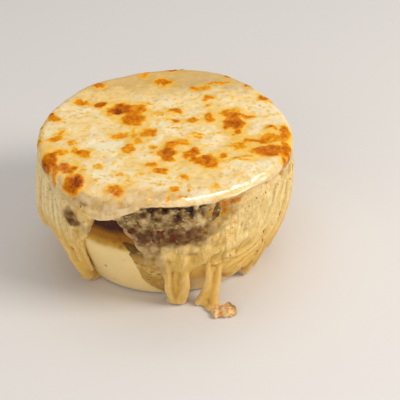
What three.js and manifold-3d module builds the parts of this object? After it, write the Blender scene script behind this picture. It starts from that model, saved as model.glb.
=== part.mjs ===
// A crock of french onion soup: a round stoneware crock, the onion soup that fills it and has
// spilled over the rim at the front, and the melted cheese that lies over the top as a browned
// lid and runs down the outside as a curtain with drips.
// Millimetres, +Z up. The origin is the middle of the crock's foot, on the surface it stands on.
// Angles are in degrees round the Z axis, 0 at the front (-Y) and growing towards +X.
import * as THREE from "three";
import { mergeVertices } from "three/addons/utils/BufferGeometryUtils.js";
import Module from "manifold-3d";

const wasm = await Module();
wasm.setup();

// Crock
const rimRadius = 57.3; // outside of the straight collar
const crockHeight = 57;
const shoulderHeight = 33; // the collar stands on the tapered body here
const baseRadius = 44; // outside of the body where it meets the foot
const bodyRoundness = 1.35; // 1 is a straight cone, more is a rounder belly
const wallThickness = 5;
const floorThickness = 7;
const footInnerRadius = 33;
const footRecess = 2;
const footSlope = 2.5; // how far in the recess's side slopes
const heelRise = 1.2; // the rounded heel: how high it reaches, and how far in it starts
const heelIn = 1.5;
const innerHeelRise = 5; // the same inside, over the floor
const innerHeelIn = 4.5;
const rimRound = 2.5;
const crockSegments = 54;
const bodySteps = 6;
const rimSteps = 4;
const bowlSteps = 4;

// Soup
const clearance = 0.3; // gap kept between neighbouring pieces
const soupLevel = 58.7; // top of the packed onions, just over the rim
const spillFrom = -21;
const spillTo = 48;
const spillThickness = 3.4; // how far the spilled onions stand proud of the collar
const spillBottom = 37;
const spillSlant = 10; // the spill's lower edge climbs by this much at its left end
const spillSlantWidth = 11; // over this many degrees
const spillInside = 8; // how far in from the rim it starts, over the packed onions
const spillThinning = 0.55; // share of the thickness lost towards its right end
const spillStep = 3; // degrees between sections
const spillLumps = [
  { size: 0.5, frequency: 0.9, phase: 0 },
  { size: 0.4, frequency: 0.37, phase: 1 },
];

// Cheese lid
const lidTop = 62;
const lidUnderside = 59;
const soupEdge = 51.7; // the lid's underside steps down here from the soup to the rim
const lidRadius = 60.7;
const lidSegments = 60;
const lipHeight = 57.8; // lower edge of the lid where it neither droops nor bridges the spill
const lipRise = 1.2; // the lip is this much higher where it bridges the spill
const bridgeIn = 1.1; // and its edge stays this much further in
const bridgeRoom = 1.75; // with this much more room over the rim
const backRise = 0.9;
const blister = { at: 156, height: 1.2, width: 17, spread: 17, out: 1.1 }; // puffed crust at the back right
const topShares = [0, 0.25, 0.5, 0.72, 0.88]; // where the points of a spoke lie, as shares of its length
const edgeRolls = [
  { in: 2.6, down: 0.3 },
  { in: 0.8, down: 1.1 },
]; // the rounded corner between the top and the edge
const edgeHeight = 60; // top of the upright part of the edge
const lipRolls = { high: 1.2, low: 0.8, turnIn: 0.7, turnUp: 0.35, flatIn: 1.5 }; // the lip's lower corner
const droopDepth = 6.6; // extra drop of the lip at the front left
const droopAngle = -31;
const droopSpread = { left: 19, right: 10 };

// Cheese curtain
const curtainFrom = -18; // free edge beside the bare patch, to the right of it
const curtainTo = 327; // free edge on its left, after going right round the back
const curtainThickness = 3.3;
const leftBulge = { at: -76, spread: 24, extra: 1.5 }; // the thick drips on the left side
const foldDepth = 0.7;
const tailThinning = 0.45; // share of the thickness lost down at the foot
const curtainTop = 59.6; // inside the lid
const seamHeight = 40; // where the curtain comes out from under the spilled onions
const frontStep = 1.9; // degrees between sections at the front
const plainStep = 4; // degrees between sections elsewhere
const fineTo = 62;
const curtainRows = 7;
const collarRows = 2;
const biteDepth = 0.9; // how far the uncut curtain reaches into the crock

// Each drip of the curtain: the angle of its middle, the height of its tip, half the width of
// its straight part, how far it flares to either side, and the heights that the flares climb to.
// Angles and widths are in degrees. A drip with a hang swings clear of the wall at that radius.
const drips = [
  { at: 3.5, tip: 0.3, core: 6, left: 20, right: 6.5, crest: [50, 29], hang: 53.4 },
  { at: 18.5, tip: 0.3, core: 3, left: 5, right: 7, crest: [29, 19], hang: 54.2 },
  { at: 28, tip: 7, core: 3.5, left: 6, right: 9, crest: [19, 24], hang: 54 },
  { at: 42, tip: 4, core: 6, left: 9, right: 10, crest: [24, 24], hang: 0 },
  { at: 58, tip: 1, core: 6, left: 9, right: 10, crest: [20, 20], hang: 0 },
  { at: 75, tip: 3, core: 6, left: 9, right: 11, crest: [24, 24], hang: 0 },
  { at: 93, tip: 12, core: 5, left: 10, right: 12, crest: [30, 30], hang: 0 },
  { at: 110, tip: 4, core: 5, left: 12, right: 14, crest: [36, 36], hang: 0 },
  { at: 131, tip: 20, core: 5, left: 14, right: 12, crest: [38, 38], hang: 0 },
  { at: 150, tip: 10, core: 5, left: 12, right: 12, crest: [36, 36], hang: 0 },
  { at: 168, tip: 0.3, core: 4, left: 12, right: 13, crest: [40, 40], hang: 51.5 },
  { at: 188, tip: 18, core: 6, left: 13, right: 12, crest: [40, 40], hang: 0 },
  { at: 207, tip: 6, core: 5, left: 12, right: 13, crest: [36, 36], hang: 0 },
  { at: 226, tip: 22, core: 5, left: 12, right: 12, crest: [38, 38], hang: 0 },
  { at: 245, tip: 10, core: 5, left: 13, right: 12, crest: [36, 36], hang: 0 },
  { at: 262, tip: 20, core: 4, left: 11, right: 11, crest: [38, 38], hang: 0 },
  { at: 279, tip: 27, core: 5, left: 10, right: 9, crest: [40, 40], hang: 0 },
  { at: 293, tip: 8, core: 5, left: 11, right: 9, crest: [30, 30], hang: 0 },
  { at: 307.5, tip: 0.3, core: 4.5, left: 10, right: 15, crest: [50, 50], hang: 49.5 },
];
const flarePower = 0.62;
const openHem = 50; // the hem where no drip reaches

// What has run out on the surface at the foot of a drip: middle, length, width, height and turn
const puddles = [
  { at: [3.4, -50.2], size: [12, 7.5, 4.6], turn: 0 },
  { at: [16.4, -53.4], size: [9, 6.5, 4.8], turn: -35 },
  { at: [23.8, -57.2], size: [15, 7.6, 5.2], turn: -12 },
  { at: [-37.2, -31.6], size: [8.4, 7.4, 8], turn: 40 },
];

const radians = THREE.MathUtils.degToRad;
const smoothstep = THREE.MathUtils.smoothstep;
const clamp = THREE.MathUtils.clamp;

function wallRadius(z) {
  const up = clamp(z / shoulderHeight, 0, 1);
  return baseRadius + (rimRadius - baseRadius) * (1 - (1 - up) ** bodyRoundness);
}

// A point at an angle round the crock, a distance from its axis and a height.
function around(angle, radius, z) {
  const a = radians(angle);
  return [radius * Math.sin(a), -radius * Math.cos(a), z];
}

function solidFrom(geometry) {
  const plain = geometry.index ? geometry.toNonIndexed() : geometry.clone();
  plain.deleteAttribute("normal");
  plain.deleteAttribute("uv");
  const merged = mergeVertices(plain, 1e-4);
  return new wasm.Manifold(
    new wasm.Mesh({
      numProp: 3,
      vertProperties: new Float32Array(merged.attributes.position.array),
      triVerts: new Uint32Array(merged.index.array),
    }),
  );
}

function meshFrom(solid, name, material) {
  const made = solid.getMesh();
  const geometry = new THREE.BufferGeometry();
  geometry.setAttribute("position", new THREE.BufferAttribute(made.vertProperties, 3));
  geometry.setIndex(new THREE.BufferAttribute(made.triVerts, 1));
  geometry.computeVertexNormals();
  const mesh = new THREE.Mesh(geometry, material);
  mesh.name = name;
  return mesh;
}

// The largest body of a solid: a cut can leave slivers beside it.
function largestBody(solid) {
  return solid.decompose().reduce((a, b) => (a.volume() > b.volume() ? a : b));
}

// A solid turned on the Z axis from a profile of [radius, height] pairs.
function turned(profile, segments) {
  const points = profile.map(([r, z]) => new THREE.Vector2(r, z));
  const geometry = new THREE.LatheGeometry(points, segments);
  geometry.rotateX(Math.PI / 2);
  return solidFrom(geometry);
}

// A skin over rows of points that all have the same count. Each row is a closed loop when
// loops is true, and the rows themselves close when ring is true. Loops that don't form a
// ring get a flat cap at either end. Rows of a disc start and end on the same two poles.
function skinned(rows, { loops, ring }) {
  const count = rows[0].length;
  const triangles = [];
  const rowSteps = ring ? rows.length : rows.length - 1;
  const pointSteps = loops ? count : count - 1;
  const quad = (a, b, c, d) => triangles.push(a, b, c, a, c, d);
  for (let i = 0; i < rowSteps; i += 1) {
    const here = rows[i];
    const next = rows[(i + 1) % rows.length];
    for (let j = 0; j < pointSteps; j += 1) {
      const k = (j + 1) % count;
      quad(here[j], here[k], next[k], next[j]);
    }
  }
  if (loops && !ring) {
    capLoop(rows[0], triangles, true);
    capLoop(rows[rows.length - 1], triangles, false);
  }
  const kept = [];
  for (let t = 0; t < triangles.length; t += 3) {
    const [a, b, c] = triangles.slice(t, t + 3);
    if (!samePoint(a, b) && !samePoint(b, c) && !samePoint(c, a)) kept.push(...a, ...b, ...c);
  }
  const geometry = new THREE.BufferGeometry();
  geometry.setAttribute("position", new THREE.Float32BufferAttribute(kept, 3));
  return solidFrom(geometry);
}

function samePoint(a, b) {
  return Math.hypot(a[0] - b[0], a[1] - b[1], a[2] - b[2]) < 1e-4;
}

// Closes a loop of points with a ladder of triangles between its two halves.
function capLoop(loop, triangles, flip) {
  const add = (a, b, c) => (flip ? triangles.push(a, c, b) : triangles.push(a, b, c));
  let low = 0;
  let high = loop.length - 1;
  while (high - low > 1) {
    add(loop[low], loop[low + 1], loop[high]);
    low += 1;
    if (high - low > 1) add(loop[low], loop[high - 1], loop[high]);
    high -= 1;
  }
}

// Crock

// The section of the crock, from the axis under the foot, up the outside, over the rim and
// down the inside to the axis again, moved out by grow.
function crockProfile(grow = 0) {
  const profile = [[0, footRecess - grow], [footInnerRadius - footSlope - grow, footRecess - grow]];
  profile.push([footInnerRadius - grow, -grow], [baseRadius - heelIn + grow, -grow]);
  for (let i = 0; i <= bodySteps; i += 1) {
    const z = heelRise + ((shoulderHeight - heelRise) * i) / bodySteps;
    profile.push([wallRadius(z) + grow, z]);
  }
  const rimMiddle = rimRadius - wallThickness / 2;
  for (let i = 0; i <= rimSteps; i += 1) {
    const a = (Math.PI * i) / rimSteps;
    const r = rimMiddle + (rimRound + grow) * Math.cos(a);
    profile.push([r, crockHeight - rimRound + (rimRound + grow) * Math.sin(a)]);
  }
  return profile.concat(bowlProfile(grow));
}

// The inside of the crock, from under the rim down to the axis, moved into the hollow by grow.
function bowlProfile(grow) {
  const profile = [];
  for (let i = 0; i <= bowlSteps; i += 1) {
    const z = shoulderHeight - ((shoulderHeight - floorThickness - innerHeelRise) * i) / bowlSteps;
    profile.push([wallRadius(z) - wallThickness - grow, z]);
  }
  const [lastRadius] = profile[bowlSteps];
  profile.push([lastRadius - innerHeelIn, floorThickness + grow]);
  profile.push([0, floorThickness + grow]);
  return profile;
}

function makeCrock() {
  return turned(crockProfile(), crockSegments);
}

// Cheese

function inSpill(angle) {
  return smoothstep(angle, spillFrom - 3, spillFrom + 1) * (1 - smoothstep(angle, spillTo - 2, spillTo + 4));
}

// Lower edge of the lid: it bridges the spill, droops at the front left, and elsewhere lies
// just under the rim.
function lipBottom(angle) {
  const off = angle - droopAngle;
  const spread = off < 0 ? droopSpread.left : droopSpread.right;
  const droop = droopDepth * Math.exp(-((off / spread) ** 2));
  return lipHeight - droop + lipRise * inSpill(angle);
}

// The lid's outline is a little out of round, and bulges over the blister.
function lidEdge(angle) {
  const a = radians(angle);
  const bulge = blister.out * Math.exp(-(((angle - blister.at) / blister.spread) ** 2));
  return lidRadius + 0.3 * Math.sin(3 * a + 0.6) + bulge - bridgeIn * inSpill(angle);
}

// The top is gently uneven, rises towards the back and is puffed up at the blister.
function lidSurface(angle, radius) {
  const [x, y] = around(angle, radius, 0);
  const [blisterX, blisterY] = around(blister.at, lidRadius - 6, 0);
  const away = Math.hypot(x - blisterX, y - blisterY) / blister.width;
  const puff = blister.height * Math.exp(-(away ** 2));
  const swell = 0.3 * Math.sin(x / 9 + 1) * Math.cos(y / 11) + 0.2 * Math.sin((x + y) / 6.5);
  return lidTop + swell + puff + backRise * smoothstep(y, 0, lidRadius);
}

// One spoke of the lid, from the middle of its top round the edge to the middle underneath.
function lidSpoke(angle, grow) {
  const edge = lidEdge(angle) + grow;
  const bottom = lipBottom(angle) - grow;
  const underRim = crockHeight + clearance + bridgeRoom * inSpill(angle) - grow;
  const innerEdge = rimRadius + clearance - grow;
  const top = (radius, drop = 0) => [radius, lidSurface(angle, radius) - drop + grow];
  const points = topShares.map((share) => top(share * edge));
  for (const roll of edgeRolls) points.push(top(edge - roll.in, roll.down));
  points.push([edge, Math.max(bottom + lipRolls.high, edgeHeight + grow)]);
  points.push([edge, Math.max(bottom + lipRolls.low, (edgeHeight + bottom) / 2)]);
  points.push([edge - lipRolls.turnIn, bottom + lipRolls.turnUp], [edge - lipRolls.flatIn, bottom]);
  points.push([innerEdge, bottom + 0.1], [innerEdge - 0.05, underRim]);
  points.push([soupEdge, underRim], [soupEdge - 0.4, lidUnderside + 0.1 - grow], [0, lidUnderside - grow]);
  return points.map(([r, z]) => around(angle, r, z));
}

function makeLid(grow = 0) {
  const spokes = [];
  for (let i = 0; i < lidSegments; i += 1) spokes.push(lidSpoke(-180 + (360 * i) / lidSegments, grow));
  return skinned(spokes, { loops: false, ring: true });
}

// Height of one drip's edge at an angle: its tip inside the straight part, then a flare.
function dripEdge(drip, angle) {
  const off = angle - drip.at;
  const flare = off < 0 ? drip.left : drip.right;
  const away = clamp((Math.abs(off) - drip.core) / flare, 0, 1);
  const round = 2.2 * Math.min(1, Math.abs(off) / drip.core) ** 4;
  const low = drip.tip + round;
  const crest = drip.crest[off < 0 ? 0 : 1];
  return away < 1 ? low + (crest - low) * away ** flarePower : openHem;
}

function curtainHem(angle) {
  return Math.min(openHem, ...drips.map((drip) => dripEdge(drip, angle)));
}

// Upper edge of the curtain: inside the lid, but under the spilled onions at the front.
function curtainHead(angle) {
  const rise = smoothstep(angle, 24, spillTo + 4);
  const corner = 6 * (1 - smoothstep(angle, -22, -8));
  return seamHeight + corner + (curtainTop - seamHeight) * rise;
}

// Thickness of the curtain: folds that lean as they run down, thicker on the left side.
function thicknessAt(angle, z) {
  const turn = angle > 180 ? angle - 360 : angle;
  const bulge = leftBulge.extra * Math.exp(-(((turn - leftBulge.at) / leftBulge.spread) ** 2));
  const tail = 1 - tailThinning * (1 - smoothstep(z, 0, 22)) * (hangAt(angle) > 0 ? 0 : 1);
  return (curtainThickness + bulge + foldDepth * foldAt(angle, z)) * tail;
}

function foldAt(angle, z) {
  const lean = angle + (z - 30) * 0.25;
  return Math.sin(radians(lean * 17)) * 0.6 + Math.sin(radians(lean * 29 + 40)) * 0.4;
}

// How far a drip pulls the curtain out to its hanging radius at an angle.
function hangAt(angle) {
  let pull = 0;
  for (const drip of drips) {
    const near = 1 - smoothstep(Math.abs(angle - drip.at), drip.core, drip.core + 3.5);
    pull = Math.max(pull, drip.hang * near);
  }
  return pull;
}

// Heights of the curtain's rows, with one of them at the shoulder where the section reaches it.
function rowHeight(i, head, hem) {
  const bend = clamp(shoulderHeight, hem, head);
  if (bend === hem || bend === head) return head + ((hem - head) * i) / curtainRows;
  if (i <= collarRows) return head + ((bend - head) * i) / collarRows;
  return bend + ((hem - bend) * (i - collarRows)) / (curtainRows - collarRows);
}

// One section of the curtain: down the outside from its head to its hem and up the inside.
function curtainSection(angle, grow) {
  const head = curtainHead(angle);
  const hem = Math.min(curtainHem(angle), head - 1.2);
  const steps = curtainRows;
  const outside = [];
  const inside = [];
  for (let i = 0; i <= steps; i += 1) {
    const pastEnd = i === 0 ? grow : i === steps ? -grow : 0;
    const z = rowHeight(i, head, hem) + pastEnd;
    const edgeRound = Math.sqrt(clamp(Math.min(i + 0.35, steps - i + 0.35) / 1.35, 0, 1));
    const thickness = thicknessAt(angle, z) * edgeRound;
    const onWall = wallRadius(z) + clearance;
    const outer = Math.max(onWall + thickness, hangAt(angle));
    const stuck = outer - thickness - onWall < 0.2;
    outside.push([outer + grow, z]);
    inside.push([stuck ? onWall - biteDepth : outer - thickness - grow, z]);
  }
  return outside.concat(inside.reverse()).map(([r, z]) => around(angle, r, z));
}

function makeCurtain(grow = 0) {
  const sections = [curtainSection(curtainFrom - grow, grow)];
  let angle = curtainFrom + frontStep;
  while (angle < curtainTo) {
    sections.push(curtainSection(angle, grow));
    angle += angle < fineTo ? frontStep : plainStep;
  }
  sections.push(curtainSection(curtainTo + grow, grow));
  return skinned(sections, { loops: true, ring: false });
}

// Cheese that has run out at the foot of a drip, flat underneath and clear of the crock.
function makePuddle({ at, size, turn }) {
  const geometry = new THREE.SphereGeometry(0.5, 14, 10);
  geometry.rotateX(Math.PI / 2);
  geometry.scale(size[0], size[1], 2 * size[2]);
  geometry.rotateZ(radians(turn));
  geometry.translate(at[0], at[1], clearance);
  const slab = new THREE.BoxGeometry(60, 60, 40);
  slab.translate(at[0], at[1], 20 + clearance);
  const crockRoom = turned(crockProfile(clearance), crockSegments);
  return solidFrom(geometry).intersect(solidFrom(slab)).subtract(crockRoom);
}

function makeCheese() {
  const crockRoom = turned(crockProfile(clearance), crockSegments);
  let cheese = makeLid().add(makeCurtain().subtract(crockRoom));
  for (const puddle of puddles) cheese = cheese.add(makePuddle(puddle));
  return largestBody(cheese);
}

// Soup

function soupFill() {
  const filled = bowlProfile(clearance).reverse();
  const wall = rimRadius - wallThickness - clearance;
  filled.push([wall, crockHeight - rimRound], [wall, soupLevel], [0, soupLevel]);
  return turned(filled, crockSegments);
}

// The packed onions that went over the rim, as a thick patch on the collar.
function soupSpill() {
  const sections = [];
  const inner = rimRadius - spillInside;
  for (let angle = spillFrom; angle <= spillTo; angle += spillStep) {
    const lumps = spillLumps.map(({ size, frequency, phase }) => size * Math.sin(angle * frequency + phase));
    const lump = lumps.reduce((sum, part) => sum + part);
    const taper = 1 - spillThinning * smoothstep(angle, 18, spillTo);
    const proud = rimRadius + clearance + (spillThickness + lump) * taper;
    const bottom = spillBottom + spillSlant * (1 - smoothstep(angle, spillFrom, spillFrom + spillSlantWidth));
    const shape = [[inner, soupLevel], [rimRadius, soupLevel - 0.1], [rimRadius + 1.3, soupLevel - 1.6]];
    shape.push([proud - 0.8, 54.5], [proud + 0.2, 51.5], [proud, 48.5], [proud - 0.9, bottom]);
    shape.push([rimRadius - 1, bottom], [rimRadius - 1, crockHeight - 6], [inner, crockHeight - 6]);
    sections.push(shape.map(([r, z]) => around(angle, r, z)));
  }
  return skinned(sections, { loops: true, ring: false });
}

function makeSoup() {
  const whole = soupFill().add(soupSpill());
  const crockRoom = turned(crockProfile(clearance), crockSegments);
  return largestBody(whole.subtract(crockRoom).subtract(makeLid(clearance)).subtract(makeCurtain(clearance)));
}

const glaze = new THREE.MeshStandardMaterial({ color: 0xd8c07c, roughness: 0.25, metalness: 0 });
const onions = new THREE.MeshStandardMaterial({ color: 0x6b4a35, roughness: 0.4, metalness: 0 });
const meltedCheese = new THREE.MeshStandardMaterial({ color: 0xefd79c, roughness: 0.45, metalness: 0 });

const soup = new THREE.Group();
soup.add(meshFrom(makeCrock(), "crock", glaze));
soup.add(meshFrom(makeSoup(), "onion_soup", onions));
soup.add(meshFrom(makeCheese(), "melted_cheese", meltedCheese));

export default soup;
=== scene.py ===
import math
import random

import bmesh
import bpy
import numpy as np
from mathutils import Matrix, Vector
from mathutils.bvhtree import BVHTree


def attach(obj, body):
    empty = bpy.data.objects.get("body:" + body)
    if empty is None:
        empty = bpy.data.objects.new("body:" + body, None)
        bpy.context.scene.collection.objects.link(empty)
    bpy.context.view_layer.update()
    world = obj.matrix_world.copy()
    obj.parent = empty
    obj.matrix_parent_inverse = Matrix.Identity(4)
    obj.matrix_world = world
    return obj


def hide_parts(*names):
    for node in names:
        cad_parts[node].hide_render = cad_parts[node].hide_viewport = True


# French onion soup in its crock: stoneware, packed onions, and the melted cheese that has run over it.
# Shapes are worked out in millimetres, with angles in degrees from the front (-Y) towards +X,
# and every finished mesh is brought to metres by makePiece.

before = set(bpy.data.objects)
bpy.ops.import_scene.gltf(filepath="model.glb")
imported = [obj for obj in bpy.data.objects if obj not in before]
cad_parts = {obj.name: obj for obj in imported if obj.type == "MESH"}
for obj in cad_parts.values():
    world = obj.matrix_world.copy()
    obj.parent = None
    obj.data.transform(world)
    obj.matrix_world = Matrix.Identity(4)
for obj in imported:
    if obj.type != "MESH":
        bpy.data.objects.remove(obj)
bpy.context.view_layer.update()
millimetre = 0.001

# Shared helpers for shapes

def smoothStep(x, low, high):
    share = np.clip((x - low) / (high - low), 0, 1)
    return share * share * (3 - 2 * share)


def plateau(x, low, lowFull, highFull, high):
    # 1 between the middle two values, with a soft rise before them and a soft fall after
    return smoothStep(x, low, lowFull) * (1 - smoothStep(x, highFull, high))


def roundedOff(room, reach):
    # rises from 0 at an edge to 1 at the given reach, like a quarter of a circle
    share = np.clip(room / reach, 0, 1)
    return np.sqrt(1 - (1 - share) ** 2)


def turnedBy(angle, middle):
    return (angle - middle + 180) % 360 - 180


# Large numbers that scatter the corners of the noise
shuffle = np.array([374761393, 668265263, 2147483647, 1274126177])


def softNoise(points, seed):
    # smooth noise between -1 and 1, for points as an array with three columns
    corner = np.floor(points).astype(np.int64)
    share = points - corner
    share = share * share * (3 - 2 * share)
    total = np.zeros(len(points))
    for step in range(8):
        offset = np.array([step & 1, step >> 1 & 1, step >> 2 & 1])
        mixed = (corner + offset) @ shuffle[:3] + seed * shuffle[3]
        mixed = (mixed ^ (mixed >> 13)) * shuffle[3] & 0xFFFFFFFF
        value = ((mixed ^ (mixed >> 16)) & 0xFFFF) / 32767.5 - 1
        weight = np.prod(np.where(offset == 1, share, 1 - share), axis=1)
        total += value * weight
    return total


def noiseAt(x, y, z, seed):
    return softNoise(np.stack([x, y, z], axis=1), seed)


def noiseOver(x, y, xSize, ySize, seed):
    # noise in two directions, with lumps of the sizes given
    return noiseAt(x / xSize, y / ySize, x * 0, seed)


def noiseSum(x, y, *layers):
    # several such noises: how much of each, its two sizes and its seed
    return sum(amount * noiseOver(x, y, *layer) for amount, *layer in layers)


def noiseAlong(x, size, seed, row=0):
    # noise in one direction; another row is other noise
    return noiseAt(x / size, x * 0 + row, x * 0, seed)


def placeShare(angle, z, place):
    # 1 in the middle of a place on the side, falling off softly: its angle, height, half width, half height
    middle, height, width, tall = place
    return np.exp(-(((angle - middle) / width) ** 2) - ((z - height) / tall) ** 2)


def placesShare(angle, z, places):
    # several such places together, each with its amount at the end
    return sum(amount * placeShare(angle, z, place) for *place, amount in places)


def bell(x, middle, spread):
    return np.exp(-(((x - middle) / spread) ** 2))


def atOne(function, angle, z):
    # the value that a function of arrays has at a single place
    return float(function(np.array([angle]), np.array([z]))[0])


def around(angle, radius, z):
    a = math.radians(angle)
    return Vector((radius * math.sin(a), -radius * math.cos(a), z))


def readPoints(mesh):
    flat = np.empty(len(mesh.vertices) * 3)
    mesh.vertices.foreach_get("co", flat)
    return flat.reshape(-1, 3)


def writePoints(mesh, points):
    mesh.vertices.foreach_set("co", points.ravel())
    mesh.update()


def polar(points):
    angle = np.degrees(np.arctan2(points[:, 0], -points[:, 1]))
    return angle, np.hypot(points[:, 0], points[:, 1]), points[:, 2]


def fromPolar(angle, radius, z):
    a = np.radians(angle)
    return np.stack([radius * np.sin(a), -radius * np.cos(a), z], axis=1)


def meshOf(bm, name):
    mesh = bpy.data.meshes.new(name)
    bm.to_mesh(mesh)
    bm.free()
    return mesh


def spunRing(profile, turns, name, closed=False):
    # a profile of (radius, height) spun once round the Z axis
    bm = bmesh.new()
    points = [bm.verts.new((0, -r, z)) for r, z in profile]
    edges = [bm.edges.new(pair) for pair in zip(points, points[1:])]
    if closed:
        edges.append(bm.edges.new((points[-1], points[0])))
    bmesh.ops.spin(bm, geom=points + edges, cent=(0, 0, 0), axis=(0, 0, 1), angle=math.tau,
                   steps=turns, use_merge=True)
    bmesh.ops.remove_doubles(bm, verts=bm.verts, dist=1e-4)
    bmesh.ops.recalc_face_normals(bm, faces=bm.faces)
    return meshOf(bm, name)


def spunBand(band, name):
    # a closed band between two angles, finer on its outside than on its back
    heights = np.linspace(band["foot"], band["top"], band["rows"])
    start = band["from"] - band["margin"]
    arc = band["to"] + band["margin"] - start
    bm = bmesh.new()
    points = [bm.verts.new(around(start, band["outer"], z)) for z in heights]
    points += [bm.verts.new(around(start, band["inner"], z)) for z in heights[::-band["backStep"]]]
    face = bm.faces.new(points)
    bmesh.ops.spin(bm, geom=[face], cent=(0, 0, 0), axis=(0, 0, 1), angle=math.radians(arc),
                   steps=band["turns"], use_duplicate=False)
    bmesh.ops.recalc_face_normals(bm, faces=bm.faces)
    mesh = meshOf(bm, name)
    return mesh, *polar(readPoints(mesh))


def linked(name, data):
    made = bpy.data.objects.new(name, data)
    bpy.context.scene.collection.objects.link(made)
    return made


def makePiece(mesh, name, material):
    # brings a finished mesh to metres and makes it a piece of the model
    mesh.transform(Matrix.Scale(millimetre, 4))
    for face in mesh.polygons:
        face.use_smooth = True
    mesh.materials.clear()
    mesh.materials.append(material)
    piece = linked(name, mesh)
    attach(piece, "root")
    return piece


def settled(passing):
    # the mesh that a passing object comes to, with its modifiers applied
    graph = bpy.context.evaluated_depsgraph_get()
    made = bpy.data.meshes.new_from_object(passing.evaluated_get(graph))
    bpy.data.objects.remove(passing)
    return made


def fused(bm, name, voxel, passes):
    # melts overlapping closed shapes into one skin and smooths it
    passing = linked(name, meshOf(bm, name))
    melt = passing.modifiers.new("melt", "REMESH")
    melt.mode = "VOXEL"
    melt.voxel_size = voxel
    soft = bmesh.new()
    soft.from_mesh(settled(passing))
    for _ in range(passes):
        bmesh.ops.smooth_vert(soft, verts=soft.verts, factor=0.5,
                              use_axis_x=True, use_axis_y=True, use_axis_z=True)
    return meshOf(soft, name)


def setAttribute(mesh, name, values):
    made = mesh.attributes.new(name, "FLOAT", "POINT")
    made.data.foreach_set("value", np.asarray(values, dtype=np.float32))


def surfaceOf(mesh):
    # for finding where a line meets the mesh
    faces = [tuple(face.vertices) for face in mesh.polygons]
    return BVHTree.FromPolygons([vert.co for vert in mesh.vertices], faces)


def normalsOf(mesh):
    flat = np.empty(len(mesh.vertices) * 3)
    mesh.vertex_normals.foreach_get("vector", flat)
    return flat.reshape(-1, 3)


def creasesOf(mesh, passes):
    # how far each point lies below its softened surroundings: above 0 in a crease, below 0 on a ridge
    count = len(mesh.vertices)
    ends = np.empty(len(mesh.edges) * 2, dtype=np.int64)
    mesh.edges.foreach_get("vertices", ends)
    first, second = ends[0::2], ends[1::2]

    def neighbourSum(values):
        return np.bincount(first, values[second], count) + np.bincount(second, values[first], count)

    links = neighbourSum(np.ones(count))
    points = readPoints(mesh)
    soft = points.copy()
    for _ in range(passes):
        total = np.stack([neighbourSum(column) for column in soft.T], axis=1)
        soft = 0.5 * soft + 0.5 * total / links[:, None]
    return np.einsum("ij,ij->i", soft - points, normalsOf(mesh))


# Helpers for materials

class Wire:
    # a socket of a material's nodes, so that shader maths is written as plain expressions
    def __init__(self, tree, socket):
        self.tree = tree
        self.socket = socket

    def node(self, kind, settings, inputs, output=0):
        made = self.tree.nodes.new(kind)
        for name, value in settings.items():
            if name == "stops":
                ramp = made.color_ramp
                while len(ramp.elements) < len(value):
                    ramp.elements.new(0.5)
                for element, (place, colour) in zip(ramp.elements, value):
                    element.position = place
                    element.color = (*colour, 1)
            else:
                setattr(made, name, value)
        for name, value in inputs.items():
            if isinstance(value, Wire):
                self.tree.links.new(value.socket, made.inputs[name])
            else:
                made.inputs[name].default_value = value
        return Wire(self.tree, made.outputs[output])

    def math(self, operation, first, second):
        return self.node("ShaderNodeMath", {"operation": operation}, {0: first, 1: second})

    def __add__(self, other):
        return self.math("ADD", self, other)

    __radd__ = __add__

    def __sub__(self, other):
        return self.math("SUBTRACT", self, other)

    def __rsub__(self, other):
        return self.math("SUBTRACT", other, self)

    def __mul__(self, other):
        return self.math("MULTIPLY", self, other)

    __rmul__ = __mul__

    def between(self, low, high):
        settings = {"interpolation_type": "SMOOTHSTEP"}
        return self.node("ShaderNodeMapRange", settings, {0: self, 1: low, 2: high, 3: 0.0, 4: 1.0})

    def mix(self, first, second):
        # first where this is 0, second where it is 1
        first = first if isinstance(first, Wire) else (*first, 1)
        second = second if isinstance(second, Wire) else (*second, 1)
        return self.node("ShaderNodeMix", {"data_type": "RGBA"}, {0: self, 6: first, 7: second}, 2)

    def noise(self, scale, detail, roughness=0.55):
        inputs = {"Vector": self, "Scale": scale, "Detail": detail, "Roughness": roughness}
        return self.node("ShaderNodeTexNoise", {}, inputs)

    def stretched(self, scale):
        return self.node("ShaderNodeMapping", {}, {"Vector": self, "Scale": scale})

    def ramp(self, stops):
        return self.node("ShaderNodeValToRGB", {"stops": stops}, {0: self})

    def attribute(self, name):
        return self.node("ShaderNodeAttribute", {"attribute_name": name}, {}, 2)

    def bump(self, distance, strength):
        return self.node("ShaderNodeBump", {}, {"Height": self, "Distance": distance, "Strength": strength})


def newMaterial(name):
    material = bpy.data.materials.new(name)
    material.use_nodes = True
    tree = material.node_tree
    tree.nodes.clear()
    coordinates = tree.nodes.new("ShaderNodeTexCoord")
    return material, Wire(tree, coordinates.outputs["Object"])


def finishMaterial(wire, inputs):
    shader = wire.node("ShaderNodeBsdfPrincipled", {}, inputs)
    output = wire.tree.nodes.new("ShaderNodeOutputMaterial")
    wire.tree.links.new(shader.socket, output.inputs["Surface"])


def heightOf(wire):
    # above the surface the crock stands on, in millimetres
    return wire.node("ShaderNodeSeparateXYZ", {}, {0: wire}, 2) * 1000


def layered(colour, layers):
    # each layer is how far it covers what lies below, and its colour
    for cover, over in layers:
        colour = cover.mix(colour, over)
    return colour


# The crock

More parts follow.
